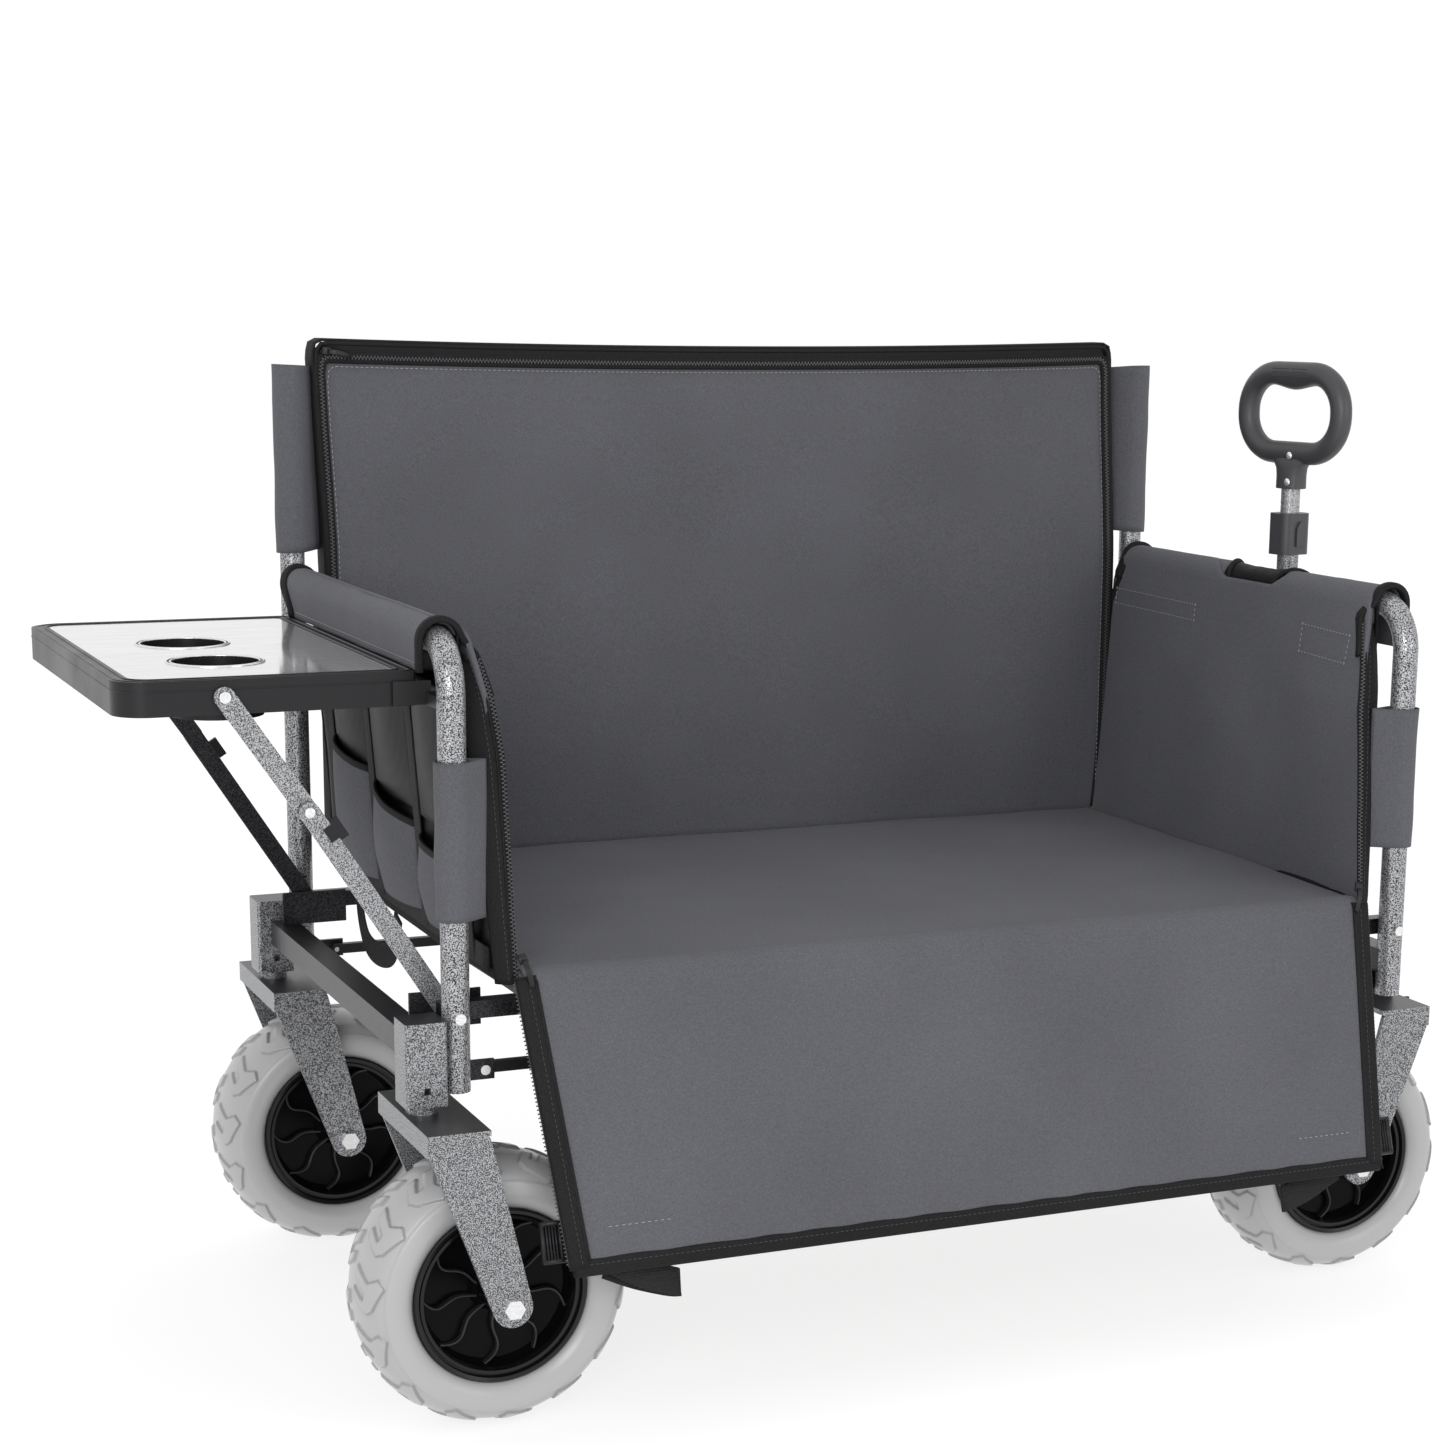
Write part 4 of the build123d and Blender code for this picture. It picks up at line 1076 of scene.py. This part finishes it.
def mesh_pocket(name, y0, y1, low, high, bulge):
    """Upper pocket of black net."""
    def point(u, v):
        y, z = y0 + (y1 - y0) * u, low + (high - low) * v
        belly = bulge * math.sin(math.pi * u) * math.sin(math.pi * (0.1 + 0.8 * v))
        return at(-(panel_x(z) + 0.0078 + belly), y, z)
    return cloth_grid(name, point, 26, 26, 0.0009, netting)


def wear_lining(outer, word, others=()):
    wear([outer], f"{word}_end", "webbing_black")
    give_way([outer, *others])


outer_left = lining_panel(-1, "left")
pockets = [(-0.205, -0.090, 0.500, 0.494), (-0.070, 0.060, 0.527, 0.507), (0.080, 0.200, 0.552, 0.536)]
bags, sewn_on = [], []
for k, (y0, y1, high_front, high_back) in enumerate(pockets):
    bag, rim = pocket(f"left_pocket_{k}", y0, y1, 0.425, high_back, high_front, 0.020)
    bags.append(bag)
    sewn_on.append(rim)
nets = [mesh_pocket(f"left_net_{k}", y0, y1, 0.52, 0.655, 0.008) for k, (y0, y1, _, _) in enumerate(pockets)]
for k, y in enumerate((-0.222, -0.080, 0.070, 0.212)):
    line = [at(-(panel_x(z) + 0.0088), y, z) for z in np.linspace(0.412, 0.680, 24)]
    sewn_on.append(tape(f"left_divider_{k}", line, 0.020, 0.0022, (-1, 0, 0), webbing))
base_line = [at(-(panel_x(0.42) + 0.008), y, 0.420) for y in np.linspace(-0.27, panel_back - 0.01, 24)]
sewn_on.append(tape("left_pocket_base", base_line, 0.022, 0.0022, (-1, 0, 0), webbing))
wear(bags, "left_end", "fabric_grey")
wear(nets, "left_end", "webbing_black")
pocket_trim = joined("left_pocket_trim", sewn_on)
wear([pocket_trim], "left_end", "webbing_black")
wear_lining(outer_left, "left", bags + nets + [pocket_trim])
wear_lining(lining_panel(1, "right"), "right")


def hanging_loop(name, x, y0, y1, top, drop, width):
    """Webbing loop that hangs under an end panel."""
    span_y = y1 - y0
    line = curve_through([at(x, y1, top), at(x - 0.002, y1 + 0.004, top - drop * 0.45),
                          at(x - 0.004, y1 - span_y * 0.2, top - drop * 0.92),
                          at(x - 0.004, y1 - span_y * 0.55, top - drop),
                          at(x - 0.002, y0 + span_y * 0.12, top - drop * 0.8),
                          at(x, y0, top - drop * 0.2)], 8)
    return tape(name, line, width, 0.0018, (-1, 0, 0.0), webbing)


loop = hanging_loop("left_webbing_loop", -(pad_end + 0.010), 0.035, 0.165, 0.408, 0.062, 0.025)
wear([loop], "left_end", "webbing_black")


# ---- notch in the right arm, where black cloth covers the tube --------------------------
cover_r, cover_more, cover_turn = tube_r + 0.0026, 0.010, math.radians(310)


def notch_cover():
    """Black cloth round the arm tube, a little past both ends of the notch."""

    def point(u, v):
        y = notch_y0 - cover_more + (notch_y1 - notch_y0 + 2 * cover_more) * u
        a = math.radians(-65) + cover_turn * v
        r = cover_r + ripple((2, y, a * 0.01), 0.02, 0.0012)
        return at(post_x + r * math.cos(a), y, arm_z + r * math.sin(a))
    return cloth_grid("right_notch_cover", point, 50, 34, 0.0012, lining)


def notch_lip(y, tilt):
    """Rolled black edge of the grey cloth at one end of the notch."""
    r = tube_r + 0.0052
    line = [at(post_x - r * math.cos(a), y + tilt * math.cos(a) * 0.012, arm_z + r * math.sin(a))
            for a in np.linspace(-0.9, math.pi + 0.4, 24)]
    return sweep("notch_lip", line, circle_section(0.0028, 10), (0, 1, 0), binding)


cover = notch_cover()
trim = joined("right_notch_trim", [notch_lip(notch_y0, 1), notch_lip(notch_y1, -1)])
wear([cover, trim], "right_end", "webbing_black")


# ---- seat -------------------------------------------------------------------------------
def seat_half(side, word):
    """Half of the seat cushion; both halves share one crown, so the seam hides."""
    across, deep = 60, 68
    seat_back = rest_front + 0.002
    edge_r = 0.009

    def seat_end(y):
        """Half width of the seat at y: up to the end panel's inner face."""
        return min(pad_end + 0.002, side * (panel_point(side, y, seat_top, 0.0035).x - mid_x))

    def top_z(x, y):
        near = min(seat_end(y) - abs(x), y - pad_front, (seat_back - y) * 3)
        drop = edge_r - math.sqrt(max(0.0, edge_r ** 2 - max(0.0, edge_r - near) ** 2))
        crown = 0.0035 * min(1.0, near / 0.09)
        wave = ripple((x, y, 0), 0.12, 0.0022) + ripple((x, y, 1), 0.04, 0.0005)
        return seat_top - drop + crown - 0.001 + wave

    verts = []
    shares = [side * (1 - (1 - k / (across - 1)) ** 1.6) for k in range(across)]
    ys = [pad_front + (seat_back - pad_front) * (0.5 - 0.5 * math.cos(math.pi * k / (deep - 1)))
          for k in range(deep)]
    for layer in (0, 1):
        for share in shares:
            for y in ys:
                x = share * seat_end(y)
                near = min(seat_end(y) - abs(x), y - pad_front, seat_back - y)
                lift = max(0.0, 0.004 - near)
                verts.append(at(x, y, top_z(x, y) if layer else seat_low + 0.001 + lift))
    n, quads, rim = across * deep, grid_faces(across, deep), grid_rim(across, deep)
    faces = [tuple(i + n for i in f) for f in quads] + [tuple(reversed(f)) for f in quads]
    faces += [(a, b, b + n, a + n) for a, b in zip(rim, rim[1:] + rim[:1])]
    obj = mesh_piece(f"{word}_seat_cushion", verts, faces, fabric)
    if side < 0:
        obj.data.flip_normals()
    return sharpened(obj, 60)


for side, word in sides:
    seat = seat_half(side, word)
    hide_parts(f"{word}_seat_pad")
    start, end = at(side * (pad_end - 0.004), 0, seat_top), at(side * (pad_end - 0.09), 0, seat_top)
    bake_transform(seat)


# ---- front flap --------------------------------------------------------------------------
hinge_y, hinge_z = -0.297, 0.404
flap_length = 0.255
hang = math.radians(17.8)
flap_top, flap_bottom = 0.437, 0.415     # half widths
half_thick, top_roll_r, roll_start = 0.0038, 0.0182, 0.004
down = Vector((0, -math.sin(hang), -math.cos(hang)))
outward = Vector((0, -math.cos(hang), math.sin(hang)))


def flap_half(s):
    """Half width of the flap at a distance below its hinge."""
    return flap_top + (flap_bottom - flap_top) * s / flap_length


def on_flap(x, s, off=0.0):
    """Point at x across and s down the flap, off outward from its middle."""
    return at(x, hinge_y, hinge_z) + down * s + outward * off


def over_edge(x, s, off):
    """Point on the flap, whose top rolls back over the seat's front edge."""
    if s >= roll_start:
        return on_flap(x, s, off)
    phi = min((roll_start - s) / top_roll_r, math.radians(88))
    centre = on_flap(x, roll_start, half_thick - top_roll_r)
    return centre + (outward * math.cos(phi) - down * math.sin(phi)) * (top_roll_r - half_thick + off)


def flap_panel():
    """Padded flap, its outer face soft and puckered along the seams."""
    across, deep = 170, 56
    first = roll_start - top_roll_r * math.radians(86)
    verts = []
    for layer in (1, -1):
        for i in range(across):
            for j in range(deep):
                s = first + (flap_length - first) * j / (deep - 1)
                x = flap_half(max(s, 0)) * (2 * i / (across - 1) - 1)
                near = min(flap_half(s) - abs(x), flap_length - s)
                fade = min(1.0, max(0.0, near - 0.008) / 0.05) * min(1.0, max(0.0, s) / 0.05)
                soft = fade * (ripple((x, s, 0), 0.13, 0.0034, 1.0) + ripple((x, s, 2), 0.045, 0.0009, 6.0))
                bend = 3 * noise.noise(Vector((x * 9, s * 9, 0)))
                pucker = 0.0006 * math.exp(-near / 0.02) * math.sin(x / 0.009 + bend) if s > 0.01 else 0.0
                crown = 0.004 * min(1.0, near / 0.07) * min(1.0, max(0.0, s) / 0.07)
                thick = half_thick * min(1.0, 0.35 + near / 0.006)
                off = thick + soft + crown + pucker if layer > 0 else 0.2 * soft - thick
                verts.append(over_edge(x, s, off))
    n, quads, rim = across * deep, grid_faces(across, deep), grid_rim(across, deep)
    faces = [tuple(reversed(f)) for f in quads] + [tuple(i + n for i in f) for f in quads]
    faces += [(b, a, a + n, b + n) for a, b in zip(rim, rim[1:] + rim[:1])]
    return mesh_piece("flap_panel", verts, faces, fabric)


flap = flap_panel()


def flap_side(side, inset, off, start, end, count=30):
    """Line down one side of the flap, inset from its edge."""
    return [on_flap(side * (flap_half(s) - inset), s, off) for s in np.linspace(start, end, count)]


def flap_row(x0, x1, s, off0, off1, count=2):
    """Line across the flap."""
    return [on_flap(x0 + (x1 - x0) * t, s, off0 + (off1 - off0) * t) for t in np.linspace(0, 1, count)]


flap_trim = []
for side in (-1, 1):
    edge = spaced(flap_side(side, 0.001, 0.0005, -0.004, flap_length), 0.008)
    fold = spaced(flap_side(side, 0.0088, 0.0052, 0.0, flap_length - 0.006), 0.01)
    seam = flap_side(side, 0.002, 0.0059, 0.004, flap_length - 0.006, 10)
    flap_trim += [
        sweep("flap_binding", edge, round_section(0.019, 0.0105, 0.003), outward, binding),
        chain_of("flap_teeth", flap_side(side, -0.0088, 0.0, 0.0, flap_length - 0.004), 0.0008, up=outward),
        stitching("flap_side_stitch", seam, outward, 0.0, 0.005, dark_thread),
        sweep("flap_fold", fold, round_section(0.0034, 0.0022, 0.001), outward, lining)]
edge = flap_row(-flap_bottom - 0.005, flap_bottom + 0.005, flap_length - 0.001, 0.0005, 0.0005, 110)
seam = flap_row(-flap_bottom + 0.01, flap_bottom - 0.01, flap_length - 0.003, 0.0057, 0.0057)
flap_trim += [sweep("flap_bottom_binding", edge, round_section(0.016, 0.0100, 0.003), outward, binding),
              stitching("flap_bottom_stitch", seam, outward, 0.0, 0.005, dark_thread)]
for side in (-1, 1):
    tack = flap_row(side * (flap_bottom - 0.030), side * (flap_bottom - 0.085), flap_length - 0.034,
                    0.0074, 0.0078)
    flap_trim.append(stitching("flap_tack", tack, outward, 0.0, 0.006))
trim = joined("flap_trim", flap_trim)


def flap_back():
    """Black lining on the flap's rear face."""
    def point(u, v):
        s = 0.006 + (flap_length - 0.010) * v
        x = (flap_half(s) - 0.004) * (2 * u - 1)
        return on_flap(x, s, -0.0060 + ripple((x, s, 3), 0.13, 0.001, 2.0))
    return cloth_grid("flap_lining", point, 60, 24, 0.0010, lining)


back = flap_back()


buckle_s = flap_length - 0.026


def ladder_buckle(side):
    """Moulded ladder-lock with ridged bars, on its tab behind a lower corner."""
    bars = []

    def bar(x0, s0, x1, s1, lift, *size):
        ends = [on_flap(side * (flap_bottom + 0.015 + x), buckle_s + s, lift - 0.0085)
                for x, s in ((x0, s0), (x1, s1))]
        bars.append(sweep("bar", ends, round_section(*size), outward, plastic))

    for s in (-0.0165, 0.0165):
        bar(-0.016, s, 0.014, s, 0.0, 0.0048, 0.0070, 0.002)
    for x in (-0.015, -0.003, 0.013):
        bar(x, -0.0175, x, 0.0175, 0.0, 0.0042, 0.0064, 0.0018)
    for k in range(4):
        x = 0.0015 + k * 0.0028
        bar(x, -0.0155, x, 0.0155, 0.0028, 0.0018, 0.0030, 0.0008)
    return joined(f"flap_buckle_{'left' if side < 0 else 'right'}", bars)


def loose_strap_piece(side):
    """Webbing from the buckle that hangs below the hem and turns back on itself."""
    way = [(0.000, 0.000, -0.0125), (0.022, 0.004, -0.0135), (0.050, 0.022, -0.0145), (0.078, 0.038, -0.0145),
           (0.104, 0.047, -0.0140), (0.1125, 0.0495, -0.0185), (0.104, 0.0485, -0.0245),
           (0.074, 0.0385, -0.0255), (0.046, 0.026, -0.0225)]
    line = curve_through([on_flap(side * (flap_bottom + 0.014 - dx), buckle_s + ds, off)
                          for dx, ds, off in way], 8)
    points = spaced(line, 0.004)

    def up(i, _):
        """Keeps the strap's width along the flap's fall."""
        ahead = points[min(len(points) - 1, i + 1)] - points[max(0, i - 1)]
        return ahead.normalized().cross(down)

    name = f"flap_strap_{'left' if side < 0 else 'right'}"
    return sweep(name, points, round_section(0.025, 0.0017, 0.0008), up, webbing)


buckles = [ladder_buckle(side) for side in (-1, 1)]
straps = [loose_strap_piece(side) for side in (-1, 1)]
wear([flap], "flap", "fabric_grey", "front_flap")
wear([trim, back], "flap", "webbing_black")
wear(buckles, "flap", "abs_black", "flap_buckles")
wear(straps, "flap", "webbing_black", "flap_straps")
shrink([flap, trim, back] + buckles + straps)

wear([cushion], "left_end", "fabric_grey", "backrest")
rest_trim = joined("backrest_trim", rest_pieces)
wear([rest_trim], "left_end", "webbing_black")
lean([cushion, rest_trim])
shrink([cushion, rest_trim])

# ---- table and brace details ----------------------------------------------------------
def domes(name, places, out, r, height, material):
    """Domed rivet heads, each standing on a face that looks along out."""
    out = Vector(out).normalized()
    side = out.cross(Vector((0, 0, 1))).normalized()
    rings, steps = 5, 18
    verts = []
    for k in range(rings):
        a = math.pi / 2 * k / (rings - 1)
        verts += [(r * math.cos(a) * math.cos(t), r * math.cos(a) * math.sin(t), height * math.sin(a))
                  for t in np.arange(steps) * 2 * math.pi / steps]
    faces = grid_faces(rings, steps, wrap_v=True) + [tuple(range(steps))]
    spots = [basis(Vector(p), side, out.cross(side), out) for p in places]
    return scatter(name, verts, faces, spots, material, True)


def table_ring(inset, z, corner, section):
    """A bead along the table's outline, inset from its outer wall; its inner corners are small."""
    x0, x1 = table_low.x + inset, table_high.x - inset
    y0, y1 = table_low.y + inset, table_high.y - inset
    line = []
    for x, y, r, start in ((x0, y0, corner, 180), (x1, y0, 0.008, 270), (x1, y1, 0.008, 0),
                           (x0, y1, corner, 90)):
        cx, cy = x + (r if x == x0 else -r), y + (r if y == y0 else -r)
        turns = [math.radians(start + t) for t in np.linspace(0, 90, 10)]
        line += [Vector((cx + r * math.cos(a), cy + r * math.sin(a), z)) for a in turns]
    return sweep("lip", line, section, (0, 0, 1), plastic, closed=True)


def circle_bead(x, y, r, size):
    """Round bead at a cup's rim."""
    line = [at(x + r * math.cos(t), y + r * math.sin(t), table_high.z + 0.0002)
            for t in np.linspace(0, 2 * math.pi, 65)[:-1]]
    return sweep("cup_bead", line, circle_section(size / 2, 8), (0, 0, 1), steel, closed=True)


ridge = round_section(0.0028, 0.0020, 0.0009)
lip = joined("table_lip", [table_ring(0.0125, table_high.z, 0.022, ridge),
                           table_ring(0.0040, table_high.z - 0.0003, 0.028, ridge),
                           table_ring(0.0002, table_high.z - 0.0085, 0.030,
                                      round_section(0.0016, 0.0016, 0.0007))])
wear([lip], "table", "abs_black")
cups = [(-0.658, -0.107), (-0.658, 0.031)]
beads = [circle_bead(x, y, r, size) for x, y in cups for r, size in ((0.0428, 0.0020), (0.0392, 0.0018))]
wear([joined("cup_beads", beads)], "table", "bright_steel")
brace_heads = (("top", "brace_upper", "brace_upper_links", (-0.678, 0.657), 0.0003),
               ("middle", "brace_lower", "brace_lower_links", (-0.609, 0.555), 0.0016),
               ("foot", "left_end", "brace_brackets", (-0.494, 0.374), 0.0016))
for name, body, part, (x, z), high in brace_heads:
    low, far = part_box(part)
    caps = [domes(f"brace_{name}_head", [(mid_x + x, low.y, z)], (0, -1, 0), 0.0052, high, steel),
            domes(f"brace_{name}_head_back", [(mid_x + x, far.y, z)], (0, 1, 0), 0.0052, high, steel)]
    wear([joined(f"brace_{name}_heads", caps)], body, "fasteners")

# ---- grip --------------------------------------------------------------------------------
handle_x, grip_high = middle("handle_inner_tube").x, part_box("handle_grip")[1].z
grip_turn = math.radians(13)
grip_out = Vector((-math.cos(grip_turn), -math.sin(grip_turn), 0))
grip_side = Vector((-math.sin(grip_turn), math.cos(grip_turn), 0))


def on_grip(side, out, z):
    """Point on the grip: across its loop, out of its front face, and up."""
    return Vector((handle_x, mid_y, z)) + grip_side * side + grip_out * out


grip_r, loop_half, loop_high, loop_bend = 0.0120, 0.0670, 0.0840, 0.0400


def loop_line():
    """Middle line of the grip's loop, from the middle of its top bar."""
    top, low = grip_high - grip_r, grip_high - grip_r - loop_high
    corners = ((1, top, 90), (1, low, 0), (-1, low, -90), (-1, top, 180))
    line = []
    for side, z, start in corners:
        cz = z - loop_bend if z == top else z + loop_bend
        for t in np.linspace(0, 90, 14):
            a = math.radians(start - t)
            line.append((side * (loop_half - loop_bend) + loop_bend * math.cos(a),
                         cz + loop_bend * math.sin(a)))
    full = []
    for (s0, z0), (s1, z1) in zip(line, line[1:] + line[:1]):
        gap = max(1, int(math.hypot(s1 - s0, z1 - z0) / 0.004))
        full += [(s0 + (s1 - s0) * k / gap, z0 + (z1 - z0) * k / gap) for k in range(gap)]
    return full


def moulded_grip():
    """Loop of round section with a thumb rest, on a neck that swells into it."""
    line, steps = loop_line(), 22
    verts = []
    for i, (side, z) in enumerate(line):
        (s0, z0), (s1, z1) = line[i - 1], line[(i + 1) % len(line)]
        run = math.hypot(s1 - s0, z1 - z0)
        inward = Vector(((z1 - z0) / run, -(s1 - s0) / run))
        thumb = 0.0055 * math.exp(-(side / 0.022) ** 2) if z > grip_high - 2 * grip_r else 0.0
        for k in range(steps):
            a = 2 * math.pi * k / steps
            away = grip_r * math.cos(a) + (thumb * math.cos(a) ** 2 if math.cos(a) > 0 else 0)
            verts.append(on_grip(side + inward.x * away, 0.93 * grip_r * math.sin(a), z + inward.y * away))
    loop = mesh_piece("grip_loop", verts, grid_faces(len(line), steps, True, True), grip_plastic)
    # the neck's rings: below the grip's top, half width and half depth
    rings = ((0.1340, 0.0155, 0.0125), (0.1335, 0.0165, 0.0135), (0.120, 0.0165, 0.0133),
             (0.112, 0.0180, 0.0128), (0.106, 0.0230, 0.0118), (0.100, 0.0300, 0.0090))
    verts, n = [], 32
    for below, half_side, half_out in rings:
        for k in range(n):
            c, d = math.cos(2 * math.pi * k / n), math.sin(2 * math.pi * k / n)
            verts.append(on_grip(half_side * math.copysign(abs(c) ** 0.8, c),
                                 half_out * math.copysign(abs(d) ** 0.8, d), grip_high - below))
    faces = grid_faces(len(rings), n, wrap_v=True)
    faces += [tuple(range(n)), tuple(reversed(range((len(rings) - 1) * n, len(rings) * n)))]
    neck = mesh_piece("grip_neck", verts, faces, grip_plastic)
    return sharpened(joined("grip_moulded", [loop, neck]), 50)


grip = moulded_grip()
wear([grip], "handle_slide", "abs_black", "handle_grip")
spots = [on_grip(-0.006, out, grip_high - below) for out, below in ((0.0112, 0.0985), (0.0128, 0.1265))]
wear([domes("grip_rivets", spots, grip_out, 0.0042, 0.0018, steel)], "handle_slide", "fasteners")
dots = [on_grip(side * (0.003 + 0.0030 * k), 0.93 * math.sqrt(grip_r ** 2 - dz ** 2), grip_high - grip_r + dz)
        for side in (-1, 1) for k in range(8) for dz in (0.0050, 0.0015, -0.0030)]
wear([domes("grip_dots", dots, grip_out, 0.0009, 0.0009, grip_plastic)], "handle_slide", "abs_black")

# ---- stage --------------------------------------------------------------------------------
floor_mat, floor_shader = new_material("studio_floor", (0.30, 0.30, 0.30), 0.9, specular=0.1)
floor_shader.inputs["Emission Color"].default_value = (1, 1, 1, 1)
floor_shader.inputs["Emission Strength"].default_value = 0.74
floor_corners = [(14 * x, 14 * y, -0.0005) for x, y in ((-1, -1), (1, -1), (1, 1), (-1, 1))]
floor = mesh_piece("studio_floor", floor_corners, [(0, 1, 2, 3)], floor_mat)

world = bpy.data.worlds.new("studio")
bpy.context.scene.world = world
world.use_nodes = True
world.node_tree.nodes["Background"].inputs["Color"].default_value = (1.0, 1.0, 1.0, 1)
world.node_tree.nodes["Background"].inputs["Strength"].default_value = 1.0


def softbox(name, place, aim, size, power):
    light = bpy.data.lights.new(name, "AREA")
    light.shape = "RECTANGLE"
    light.size, light.size_y = size
    light.energy = power
    obj = bpy.data.objects.new(name, light)
    bpy.context.scene.collection.objects.link(obj)
    obj.location = place
    obj.rotation_euler = (aim - place).to_track_quat("-Z", "Y").to_euler()


aim = at(0, 0, 0.5)
softbox("key_light", at(-2.2, -3.2, 1.6), aim, (1.6, 1.6), 46)
softbox("fill_light", at(1.6, -3.0, 1.4), aim, (1.6, 1.6), 14)
softbox("top_light", at(0, 0.2, 3.2), aim, (2.4, 2.4), 4)

# ---- camera ---------------------------------------------------------------------------------
camera = bpy.data.cameras.new("camera")
camera.sensor_width = 36.0
camera.lens = 71.1
camera.shift_x, camera.shift_y = -0.068, 0.1285
view = bpy.data.objects.new("camera", camera)
bpy.context.scene.collection.objects.link(view)
view.location = at(-1.202, -2.618, 0.996)
azimuth, pitch, roll = math.radians(24.32), math.radians(12.14), math.radians(0.73)
looking = Vector((math.sin(azimuth) * math.cos(pitch), math.cos(azimuth) * math.cos(pitch), -math.sin(pitch)))
turn = looking.to_track_quat("-Z", "Y").to_matrix()
view.rotation_euler = (turn @ Matrix.Rotation(roll, 3, "Z")).to_euler()
bpy.context.scene.camera = view
bpy.context.scene.view_settings.view_transform = "Standard"
